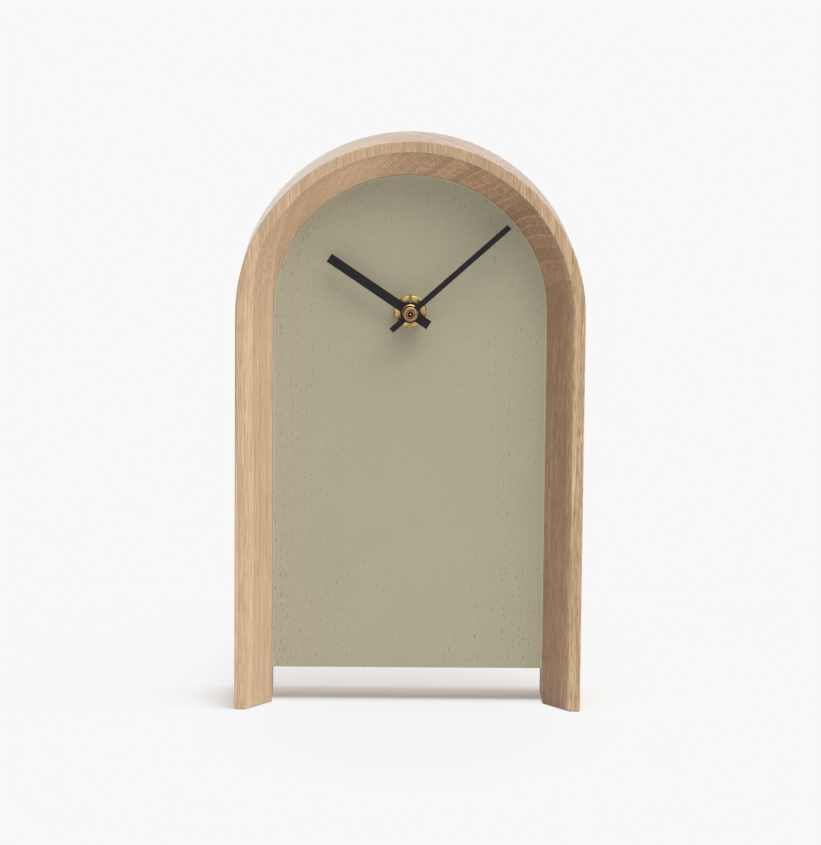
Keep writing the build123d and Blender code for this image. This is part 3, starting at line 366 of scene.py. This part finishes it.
def paint_specks(tree, place, axes):
    """Upright specks in loose columns 2.4 mm apart, about 3.2 mm from one to the next, no two of a size. They
    are drawn 0.36 mm wide because real pores of 0.15 mm would not show."""
    column_gap, row_gap, sway_mm = 2.4, 3.2, 4.0
    half_width, half_height = 0.18, 0.62
    waver = add(tree, "VectorMath", {0: place, 1: (1 / 40, 0, 1 / 25)}, operation="MULTIPLY").outputs[0]
    waver = add(tree, "TexNoise", {"Vector": waver, "Scale": 1.0, "Detail": 2.0}).outputs["Fac"]
    swayed = add(tree, "Math", {0: waver, 1: sway_mm, 2: axes["X"]}, operation="MULTIPLY_ADD").outputs[0]
    face = add(tree, "CombineXYZ", {"X": swayed, "Y": axes["Z"]}).outputs[0]
    to_cells = (1 / column_gap, 1 / row_gap, 0)
    cells = add(tree, "VectorMath", {0: face, 1: to_cells}, operation="MULTIPLY").outputs[0]
    middles = {"Vector": cells, "Scale": 1.0, "Randomness": 1.0}
    middles = add(tree, "TexVoronoi", middles, voronoi_dimensions="2D").outputs
    draw = add(tree, "SeparateColor", {"Color": middles["Color"]}).outputs
    speck = add(tree, "VectorMath", {0: cells, 1: middles["Position"]}, operation="SUBTRACT").outputs[0]
    to_speck = (column_gap / half_width, row_gap / half_height, 0)
    speck = add(tree, "VectorMath", {0: speck, 1: to_speck}, operation="MULTIPLY").outputs[0]
    # A few are up to four times as long
    longer = add(tree, "Math", {0: draw["Green"], 1: 8.0}, operation="POWER").outputs[0]
    longer = add(tree, "MapRange", {"Value": longer, "To Min": 1.0, "To Max": 0.25}).outputs[0]
    longer = add(tree, "CombineXYZ", {"X": 1.0, "Y": longer}).outputs[0]
    speck = add(tree, "VectorMath", {0: speck, 1: longer}, operation="MULTIPLY").outputs[0]
    speck = add(tree, "VectorMath", {0: speck}, operation="LENGTH").outputs["Value"]
    speck = {"Value": speck, "From Min": 0.5, "From Max": 1.4, "To Min": 1.0, "To Max": 0.0}
    speck = add(tree, "MapRange", speck).outputs[0]
    kept = open_share(tree, axes, face)
    kept = add(tree, "Math", {0: kept, 1: draw["Red"]}, operation="SUBTRACT").outputs[0]
    kept = add(tree, "MapRange", {"Value": kept, "From Max": 0.7, "To Max": 0.9}).outputs[0]
    return add(tree, "Math", {0: speck, 1: kept}, operation="MULTIPLY").outputs[0]


def paint_rim(tree, axes):
    """A factor for the paler rim, 0.8 mm wide, where paint builds up against the frame."""
    radius = BOARD_HIGH.x / MM
    spring_line = BOARD_HIGH.z / MM - radius
    over = add(tree, "Math", {0: axes["Z"], 1: spring_line}, operation="SUBTRACT").outputs[0]
    over = add(tree, "Math", {0: over, 1: 0.0}, operation="MAXIMUM").outputs[0]
    rim = add(tree, "CombineXYZ", {"X": axes["X"], "Y": over}).outputs[0]
    rim = add(tree, "VectorMath", {0: rim}, operation="LENGTH").outputs["Value"]
    rim = {"Value": rim, "From Min": radius - 1.1, "From Max": radius - 0.7, "To Min": 1.0, "To Max": 1.12}
    return add(tree, "MapRange", rim).outputs[0]


def sage_paint(settings):
    """Matt paint, rolled on open-pored veneer. The eye sees one flat colour with a fine roller grain, and
    scattered upright specks where the paint has not filled a pore."""
    material, tree, shader, place = new_material("sage_matt_rolled_paint")
    axes = add(tree, "SeparateXYZ", {0: place}).outputs
    cloud = add(tree, "TexNoise", {"Vector": place, "Scale": 1 / 30, "Detail": 3.0}).outputs["Fac"]
    grain = add(tree, "TexNoise", {"Vector": place, "Scale": 1 / 0.6, "Detail": 2.0}).outputs["Fac"]
    speck = paint_specks(tree, place, axes)
    tone = {"Factor": speck, "A": settings.sage, "B": settings.pore}
    tone = add(tree, "Mix", tone, data_type="RGBA").outputs["Result"]
    tone = add(tree, "VectorMath", {0: tone, 1: paint_rim(tree, axes)}, operation="MULTIPLY").outputs[0]
    for pattern, spread in ((cloud, 0.04), (grain, 0.14)):
        shade = {"Value": pattern, "To Min": 1 - spread, "To Max": 1 + spread}
        shade = add(tree, "MapRange", shade).outputs[0]
        tone = add(tree, "VectorMath", {0: tone, 1: shade}, operation="MULTIPLY").outputs[0]
    height = add(tree, "Math", {0: speck, 1: -2.0, 2: grain}, operation="MULTIPLY_ADD").outputs[0]
    bump = add(tree, "Bump", {"Height": height, "Strength": 0.25, "Distance": 0.05 * MM}).outputs[0]
    rough = add(tree, "MapRange", {"Value": grain, "To Min": 0.7, "To Max": 0.82}).outputs[0]
    feed(tree, shader, Base_Color=tone, Roughness=rough, Normal=bump)
    shader.inputs["Specular IOR Level"].default_value = 0.25
    return material


def turned_metal(name, metal_colour, roughness, bore_colour=None, bore_radius=0.0, slot_half=0.0):
    """Brass turned on a lathe. The eye sees fine rings about its axis and a few dull patches, a dark bore
    where the oxide was left on, and a duller floor in a sawn slot."""
    material, tree, shader, place = new_material(name)
    centred = add(tree, "VectorMath", {0: place, 1: tuple(HUB / MM)}, operation="SUBTRACT").outputs[0]
    flat = add(tree, "VectorMath", {0: centred, 1: (1.0, 0.0, 1.0)}, operation="MULTIPLY").outputs[0]
    radius = add(tree, "VectorMath", {0: flat}, operation="LENGTH").outputs["Value"]
    rings = {"W": radius, "Scale": 1 / 0.16, "Detail": 1.0}
    rings = add(tree, "TexNoise", rings, noise_dimensions="1D").outputs["Fac"]
    patches = add(tree, "TexNoise", {"Vector": place, "Scale": 1 / 2.2, "Detail": 2.0}).outputs["Fac"]
    shade = {"Value": patches, "From Min": 0.3, "From Max": 0.7, "To Min": 0.6, "To Max": 1.1}
    shade = add(tree, "MapRange", shade).outputs[0]
    tone = add(tree, "VectorMath", {0: metal_colour[:3], 1: shade}, operation="MULTIPLY").outputs[0]
    spread = {"Value": patches, "To Min": roughness - 0.07, "To Max": roughness + 0.1}
    rough = add(tree, "MapRange", spread).outputs[0]
    soft = 0.05
    if bore_radius:
        oxide_rough = 0.8
        inside = {"Value": radius, "From Min": bore_radius, "From Max": bore_radius + 0.08}
        inside = add(tree, "MapRange", inside).outputs[0]
        tone = {"Factor": inside, "A": bore_colour, "B": tone}
        tone = add(tree, "Mix", tone, data_type="RGBA").outputs["Result"]
        rough = add(tree, "Mix", {"Factor": inside, "A": oxide_rough, "B": rough}).outputs["Result"]
    if slot_half:
        beside = add(tree, "SeparateXYZ", {0: centred}).outputs["X"]
        beside = add(tree, "Math", {0: beside}, operation="ABSOLUTE").outputs[0]
        sawn = {"Value": beside, "From Min": slot_half + soft, "From Max": slot_half - soft}
        sawn = add(tree, "MapRange", sawn).outputs[0]
        rough = add(tree, "Math", {0: sawn, 1: 0.15, 2: rough}, operation="MULTIPLY_ADD").outputs[0]
        dulled = add(tree, "MapRange", {"Value": sawn, "To Min": 1.0, "To Max": 0.75}).outputs[0]
        tone = add(tree, "VectorMath", {0: tone, 1: dulled}, operation="MULTIPLY").outputs[0]
    bump = add(tree, "Bump", {"Height": rings, "Strength": 0.1, "Distance": 0.03 * MM}).outputs[0]
    feed(tree, shader, Base_Color=tone, Roughness=rough, Normal=bump)
    shader.inputs["Metallic"].default_value = 1.0
    return material


def grained(name, base, roughness, grit, depth, variation=0.05, metallic=0.0, specular=0.5):
    """A moulded, sprayed, ground or drawn surface. The eye sees one colour, broken by a fine grit in its
    tone, gloss and relief; grit and depth are in millimetres."""
    material, tree, shader, place = new_material(name)
    grain = add(tree, "TexNoise", {"Vector": place, "Scale": 1 / grit, "Detail": 2.0}).outputs["Fac"]
    shade = {"Value": grain, "To Min": 1 - variation, "To Max": 1 + variation}
    shade = add(tree, "MapRange", shade).outputs[0]
    tone = add(tree, "VectorMath", {0: base[:3], 1: shade}, operation="MULTIPLY").outputs[0]
    rough = add(tree, "MapRange", {"Value": grain, "To Min": roughness - 0.06, "To Max": roughness + 0.06})
    bump = add(tree, "Bump", {"Height": grain, "Strength": 0.3, "Distance": depth * MM}).outputs[0]
    feed(tree, shader, Base_Color=tone, Roughness=rough.outputs[0], Normal=bump)
    shader.inputs["Metallic"].default_value = metallic
    shader.inputs["Specular IOR Level"].default_value = specular
    return material


def sleeved_cell(settings):
    """A drawn steel can in a plain printed-film sleeve. The eye sees satin film along the can, with bare
    bright steel past the film's folded ends."""
    material, tree, shader, place = new_material("cell_steel_film_sleeve")
    along = add(tree, "SeparateXYZ", {0: place}).outputs["X"]
    fold, soft = 2.4, 0.05
    low, high = CELL_LOW.x / MM + fold / 2, CELL_HIGH.x / MM - fold
    after = add(tree, "MapRange", {"Value": along, "From Min": low, "From Max": low + soft}).outputs[0]
    before = {"Value": along, "From Min": high, "From Max": high + soft, "To Min": 1.0, "To Max": 0.0}
    before = add(tree, "MapRange", before).outputs[0]
    film = add(tree, "Math", {0: after, 1: before}, operation="MULTIPLY").outputs[0]
    wrinkles = add(tree, "TexNoise", {"Vector": place, "Scale": 1 / 1.6, "Detail": 2.0}).outputs["Fac"]
    tone = add(tree, "Mix", {"Factor": film, "A": linear("#C4C5C6"), "B": settings.sleeve}, data_type="RGBA")
    shade = add(tree, "MapRange", {"Value": wrinkles, "To Min": 0.95, "To Max": 1.05}).outputs[0]
    tone = add(tree, "VectorMath", {0: tone.outputs["Result"], 1: shade}, operation="MULTIPLY").outputs[0]
    metal = add(tree, "Math", {0: 1.0, 1: film}, operation="SUBTRACT").outputs[0]
    rough = add(tree, "MapRange", {"Value": wrinkles, "To Min": 0.26, "To Max": 0.38}).outputs[0]
    bump = add(tree, "Bump", {"Height": wrinkles, "Strength": 0.2, "Distance": 0.03 * MM}).outputs[0]
    feed(tree, shader, Base_Color=tone, Metallic=metal, Roughness=rough, Normal=bump)
    return material


def raised_mark(name, outlines, rise, material):
    """Flat marks moulded on the cover's back, with softened edges; outlines are (x, z) points in metres."""
    root = COVER_BACK - rise / 2
    mesh_edit = bmesh.new()
    for outline in outlines:
        base = [mesh_edit.verts.new((x, root, z)) for x, z in outline]
        top = bmesh.ops.extrude_face_region(mesh_edit, geom=[mesh_edit.faces.new(base)])["geom"]
        raised = [item for item in top if isinstance(item, bmesh.types.BMVert)]
        bmesh.ops.translate(mesh_edit, verts=raised, vec=(0, rise * 1.5, 0))
    bmesh.ops.recalc_face_normals(mesh_edit, faces=mesh_edit.faces)
    brow = COVER_BACK + rise / 2
    rim = [edge for edge in mesh_edit.edges if all(vert.co.y > brow for vert in edge.verts)]
    bmesh.ops.bevel(mesh_edit, geom=rim, offset=rise / 3, segments=2, affect="EDGES", profile=0.5)
    mesh = bpy.data.meshes.new(name)
    mesh_edit.to_mesh(mesh)
    mesh_edit.free()
    mesh.materials.append(material)
    piece = bpy.data.objects.new(name, mesh)
    bpy.context.scene.collection.objects.link(piece)
    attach(piece, "clock_case")


def bar_outline(x, z, half_width, half_height):
    return [(x - half_width, z - half_height), (x + half_width, z - half_height),
            (x + half_width, z + half_height), (x - half_width, z + half_height)]


def plus_outline(x, z, reach, half):
    corners = [(half, half), (half, reach), (-half, reach), (-half, half), (-reach, half), (-reach, -half),
               (-half, -half), (-half, -reach), (half, -reach), (half, -half), (reach, -half), (reach, half)]
    return [(x + dx, z + dz) for dx, dz in corners]


def arrow_outline(radius, half, start, end, head):
    """A curved arrow about the knob, from one bearing to another in degrees, with a pointed head."""
    def at(distance, bearing):
        angle = math.radians(bearing)
        return (KNOB.x + distance * math.cos(angle), KNOB.z + distance * math.sin(angle))

    steps = 16
    bearings = [start + (end - start) * step / steps for step in range(steps + 1)]
    outer = [at(radius + half, bearing) for bearing in bearings]
    inner = [at(radius - half, bearing) for bearing in reversed(bearings)]
    tip = [at(radius + 2.2 * half, end), at(radius, end + head), at(radius - 2.2 * half, end)]
    return outer + tip + inner


class CLOCK_OT_oak_frame(bpy.types.Operator):
    """Oak on the arched frame"""

    bl_idname = "clock.oak_frame"
    bl_label = "Oak frame"

    def execute(self, context):
        dress(planed_oak(context.scene.clock_oak), "oak_frame")
        return {"FINISHED"}


class CLOCK_OT_painted_board(bpy.types.Operator):
    """Sage paint on the board"""

    bl_idname = "clock.painted_board"
    bl_label = "Painted board"

    def execute(self, context):
        dress(sage_paint(context.scene.clock_paint), "painted_board")
        return {"FINISHED"}


class CLOCK_OT_hands(bpy.types.Operator):
    """Matt black lacquer on both hands"""

    bl_idname = "clock.hands"
    bl_label = "Hands"

    def execute(self, context):
        black = context.scene.clock_metal.black
        dress(grained("black_matt_lacquer", black, 0.6, 0.25, 0.01, specular=0.2), "hour_hand", "minute_hand")
        return {"FINISHED"}


class CLOCK_OT_brass_fittings(bpy.types.Operator):
    """Turned brass on the nuts, bush, collet and minute arbor"""

    bl_idname = "clock.brass_fittings"
    bl_label = "Brass fittings"

    def execute(self, context):
        metal = context.scene.clock_metal
        dress(turned_metal("brass_turned", metal.brass, 0.25), "threaded_bush")
        dress(turned_metal("brass_turned_slotted", metal.brass, 0.24, slot_half=0.8), "ring_nut")
        dress(turned_metal("brass_turned_satin", metal.collet, 0.38), "hour_collet")
        nut_mouth = 2.0
        dress(turned_metal("brass_turned_brown", metal.nut, 0.46, metal.mouth, nut_mouth), "minute_nut")
        arbor_mouth = 1.25
        bored = turned_metal("brass_turned_dark_bore", metal.nut, 0.32, metal.bore, arbor_mouth)
        dress(bored, "minute_arbor")
        return {"FINISHED"}


class CLOCK_OT_movement(bpy.types.Operator):
    """Finishes of the movement behind the board, its gears, motor and cell"""

    bl_idname = "clock.movement"
    bl_label = "Movement"

    def execute(self, context):
        settings = context.scene.clock_movement
        case = grained("abs_black_spark_textured", settings.case, 0.5, 0.4, 0.03)
        dress(case, "front_case", "rear_cover")
        dress(grained("abs_black_knob", settings.case, 0.4, 0.3, 0.015), "setting_knob")
        dress(grained("rubber_black_moulded", linear("#161616"), 0.8, 0.5, 0.03), "rubber_washer")
        wheels = grained("acetal_white_moulded", settings.wheels, 0.42, 0.5, 0.01)
        dress(wheels, "hour_wheel", "motion_wheel", "centre_wheel", "third_wheel", "seconds_wheel")
        dress(wheels, "intermediate_wheel", "rotor_pinion", "train_plate", "coil_bobbin")
        steel = grained("steel_ground", linear("#D4D5D7"), 0.26, 0.2, 0.005, 0.04, 1.0)
        dress(steel, "third_arbor", "clutch_collar", "stator_screws")
        dress(grained("steel_drawn_dull", linear("#B2B1AF"), 0.36, 0.2, 0.005, 0.04, 1.0), "seconds_arbor")
        nickel = grained("spring_strip_nickel_plated", linear("#CFCBC0"), 0.24, 0.3, 0.005, 0.04, 1.0)
        dress(nickel, "clutch_spring", "contact_positive", "contact_negative")
        dress(grained("soft_iron_stamped", linear("#8A8A8C"), 0.4, 0.3, 0.01, 0.08, 1.0), "stator_core")
        dress(grained("magnet_sintered", linear("#3A3A3C"), 0.5, 0.2, 0.02, 0.1, 1.0), "rotor_magnet")
        dress(grained("copper_wire_enamelled", linear("#B5673A"), 0.3, 0.15, 0.03, 0.12, 1.0), "coil_winding")
        dress(grained("laminate_green_lacquered", linear("#2F6B45"), 0.4, 0.6, 0.01, 0.08), "circuit_board")
        dress(grained("epoxy_black_moulded", linear("#151515"), 0.35, 0.2, 0.01), "driver_chip")
        dress(grained("tin_can_drawn", linear("#C8C8CA"), 0.2, 0.3, 0.005, 0.03, 1.0), "quartz_crystal")
        dress(sleeved_cell(settings), "battery_cell")

        mark_z = CELL_HIGH.z + 4.0 * MM
        plus_x, minus_x = CELL_HIGH.x - 5.0 * MM, CELL_LOW.x + 5.0 * MM
        reach, half_stroke = 2.2 * MM, 0.5 * MM
        plus = plus_outline(plus_x, mark_z, reach, half_stroke)
        minus = bar_outline(minus_x, mark_z, reach, half_stroke)
        raised_mark("polarity_marks", [plus, minus], settings.mark_rise, case)
        arrow = arrow_outline(9.4 * MM, 0.45 * MM, 215, 318, 9)
        raised_mark("setting_arrow", [arrow], settings.mark_rise, case)
        return {"FINISHED"}


class CLOCK_OT_stage(bpy.types.Operator):
    """Pale floor, soft studio light and the camera"""

    bl_idname = "clock.stage"
    bl_label = "Stage"

    def execute(self, context):
        scene = context.scene
        settings = scene.clock_stage
        scene.view_settings.view_transform = "Standard"
        make_floor(scene, settings)
        make_sky(scene, settings)
        make_lamp(scene, "overhead", settings.overhead, 2.0, (0.2, -0.56, 2.35))
        make_lamp(scene, "right", settings.right, 1.6, (1.0, -0.58, 2.12))
        make_lamp(scene, "fill", settings.fill, 2.8, (0.68, -1.87, 1.28))
        make_camera(scene)
        return {"FINISHED"}


def seen_rays(tree):
    """1 for the rays that show the background: the camera's, and those in mirrors and glass."""
    path = add(tree, "LightPath").outputs
    seen = path["Is Camera Ray"]
    for ray in ("Is Glossy Ray", "Is Transmission Ray"):
        seen = add(tree, "Math", {0: seen, 1: path[ray]}, operation="MAXIMUM").outputs[0]
    return seen


def card_gloom(tree, axes):
    """The share of the card that shows its lit colour and so the clock's shadow. It is largest under the
    board, with a sharp front and a soft step 25 mm behind it."""
    gloom = 0.68
    for near, far, fall in ((6.0, 23.0, 0.22), (22.0, 31.0, 0.2), (31.0, 250.0, 0.26)):
        fall = {"Value": axes["Y"], "From Min": near, "From Max": far, "To Max": fall}
        fall = add(tree, "MapRange", fall).outputs[0]
        gloom = add(tree, "Math", {0: gloom, 1: fall}, operation="SUBTRACT").outputs[0]
    # Outside the legs it reaches forward to the feet and fades over 15 mm to each side
    aside = add(tree, "Math", {0: axes["X"]}, operation="ABSOLUTE").outputs[0]
    feet = {"Value": aside, "From Min": 64.0, "From Max": 80.0, "To Max": 24.0}
    feet = add(tree, "MapRange", feet).outputs[0]
    depth = add(tree, "Math", {0: axes["Y"], 1: feet}, operation="ADD").outputs[0]
    beyond = {"Value": aside, "From Min": 70.0, "From Max": 85.0}
    before = {"Value": depth, "From Min": 6.0, "From Max": 1.0}
    for reach in (beyond, before):
        reach = add(tree, "MapRange", reach, clamp=False).outputs[0]
        reach = add(tree, "Math", {0: reach, 1: 0.0}, operation="MAXIMUM").outputs[0]
        reach = add(tree, "Math", {0: reach, 1: reach, 2: 1.0}, operation="MULTIPLY_ADD").outputs[0]
        gloom = add(tree, "Math", {0: gloom, 1: reach}, operation="DIVIDE").outputs[0]
    return gloom


def white_card(settings):
    """White card. The eye sees its lit colour under the clock, so that the shadow stays, and an even white
    away from it."""
    material, tree, shader, place = new_material("card_white_matt")
    shader.inputs["Base Color"].default_value = settings.floor
    shader.inputs["Roughness"].default_value = 0.9
    shader.inputs["Specular IOR Level"].default_value = 0.1
    axes = add(tree, "SeparateXYZ", {0: place}).outputs
    share = add(tree, "Math", {0: 1.0, 1: card_gloom(tree, axes)}, operation="SUBTRACT").outputs[0]
    clear = add(tree, "MapRange", {"Value": share, "From Min": 0.4, "From Max": 0.85}).outputs[0]
    glow = {"Factor": clear, "A": settings.bounce, "B": settings.backdrop}
    glow = add(tree, "Mix", glow, data_type="RGBA").outputs["Result"]
    # The clock keeps a little light off the card in front of it
    spot_middle, spot_size = (0.0, -40.0, 0.0), (1 / 90, 1 / 130, 0.0)
    spot = add(tree, "VectorMath", {0: place, 1: spot_middle}, operation="SUBTRACT").outputs[0]
    spot = add(tree, "VectorMath", {0: spot, 1: spot_size}, operation="MULTIPLY").outputs[0]
    spot = add(tree, "VectorMath", {0: spot}, operation="LENGTH").outputs["Value"]
    spot = {"Value": spot, "From Min": 0.4, "From Max": 1.1, "To Min": 0.963, "To Max": 1.0}
    spot = add(tree, "MapRange", spot, interpolation_type="SMOOTHSTEP").outputs[0]
    glow = add(tree, "Emission", {"Color": glow, "Strength": spot}).outputs[0]
    share = add(tree, "Math", {0: share, 1: seen_rays(tree)}, operation="MULTIPLY").outputs[0]
    mixed = add(tree, "MixShader", {0: share, 1: shader.outputs[0], 2: glow}).outputs[0]
    tree.links.new(mixed, tree.nodes["Material Output"].inputs["Surface"])
    return material


def make_floor(scene, settings):
    half_width, near, far = 6.0, -4.0, 14.0
    corners = [(-half_width, near, 0), (half_width, near, 0), (half_width, far, 0), (-half_width, far, 0)]
    mesh = bpy.data.meshes.new("floor")
    mesh.from_pydata(corners, [], [(0, 1, 2, 3)])
    mesh.materials.append(white_card(settings))
    floor = bpy.data.objects.new("floor", mesh)
    scene.collection.objects.link(floor)


def make_sky(scene, settings):
    world = bpy.data.worlds.new("studio")
    world.use_nodes = True
    tree = world.node_tree
    background = tree.nodes["Background"]
    background.inputs["Color"].default_value = settings.backdrop
    strength = {"Value": seen_rays(tree), "To Min": settings.sky, "To Max": 1.0}
    strength = add(tree, "MapRange", strength).outputs[0]
    tree.links.new(strength, background.inputs["Strength"])
    scene.world = world


def make_lamp(scene, name, power, size, location):
    lamp = bpy.data.lights.new(name, "AREA")
    lamp.energy = power
    lamp.size = size
    holder = bpy.data.objects.new(name, lamp)
    holder.location = location
    clock_middle = (FRAME_LOW + FRAME_HIGH) / 2
    holder.rotation_euler = (clock_middle - holder.location).to_track_quat("-Z", "Y").to_euler()
    scene.collection.objects.link(holder)


def make_camera(scene):
    """The photograph's view, from a fit to the frame's edges."""
    focal_px, long_side_px, sensor_mm = 4262.0, 845, 36.0
    yaw, pitch, roll = -0.00928, 0.1616, 0.0088
    stand = (-0.01746, -1.94854, 0.44911)
    level = Vector((math.cos(yaw), math.sin(yaw), 0))
    ahead = Vector((-math.sin(yaw), math.cos(yaw), 0))
    forward = ahead * math.cos(pitch) - Vector((0, 0, math.sin(pitch)))
    upright = ahead * math.sin(pitch) + Vector((0, 0, math.cos(pitch)))
    right = level * math.cos(roll) + upright * math.sin(roll)
    up = upright * math.cos(roll) - level * math.sin(roll)
    lens = bpy.data.cameras.new("camera")
    lens.sensor_width = sensor_mm
    lens.lens = focal_px * sensor_mm / long_side_px
    camera = bpy.data.objects.new("camera", lens)
    turn = Matrix((right, up, -forward)).transposed().to_4x4()
    camera.matrix_world = Matrix.Translation(stand) @ turn
    scene.collection.objects.link(camera)
    scene.camera = camera


OPERATORS = (
    CLOCK_OT_oak_frame,
    CLOCK_OT_painted_board,
    CLOCK_OT_hands,
    CLOCK_OT_brass_fittings,
    CLOCK_OT_movement,
    CLOCK_OT_stage,
)
SETTINGS = {
    "clock_oak": OakSettings,
    "clock_paint": PaintSettings,
    "clock_metal": MetalSettings,
    "clock_movement": MovementSettings,
    "clock_stage": StageSettings,
}


class CLOCK_PT_panel(bpy.types.Panel):
    """Lists the clock's pieces and settings"""

    bl_label = "Arched shelf clock"
    bl_idname = "CLOCK_PT_panel"
    bl_space_type = "VIEW_3D"
    bl_region_type = "UI"
    bl_category = "Clock"

    def draw(self, context):
        for operator in OPERATORS:
            self.layout.operator(operator.bl_idname)
        for name, group in SETTINGS.items():
            for prop in group.__annotations__:
                self.layout.prop(getattr(context.scene, name), prop)


CLASSES = (*SETTINGS.values(), *OPERATORS, CLOCK_PT_panel)


def register():
    for cls in CLASSES:
        bpy.utils.register_class(cls)
    for name, group in SETTINGS.items():
        setattr(bpy.types.Scene, name, bpy.props.PointerProperty(type=group))


def unregister():
    for name in SETTINGS:
        delattr(bpy.types.Scene, name)
    for cls in reversed(CLASSES):
        bpy.utils.unregister_class(cls)


def main():
    register()
    bpy.ops.clock.oak_frame()
    bpy.ops.clock.painted_board()
    bpy.ops.clock.hands()
    bpy.ops.clock.brass_fittings()
    bpy.ops.clock.movement()
    bpy.ops.clock.stage()


if __name__ == "__main__":
    main()
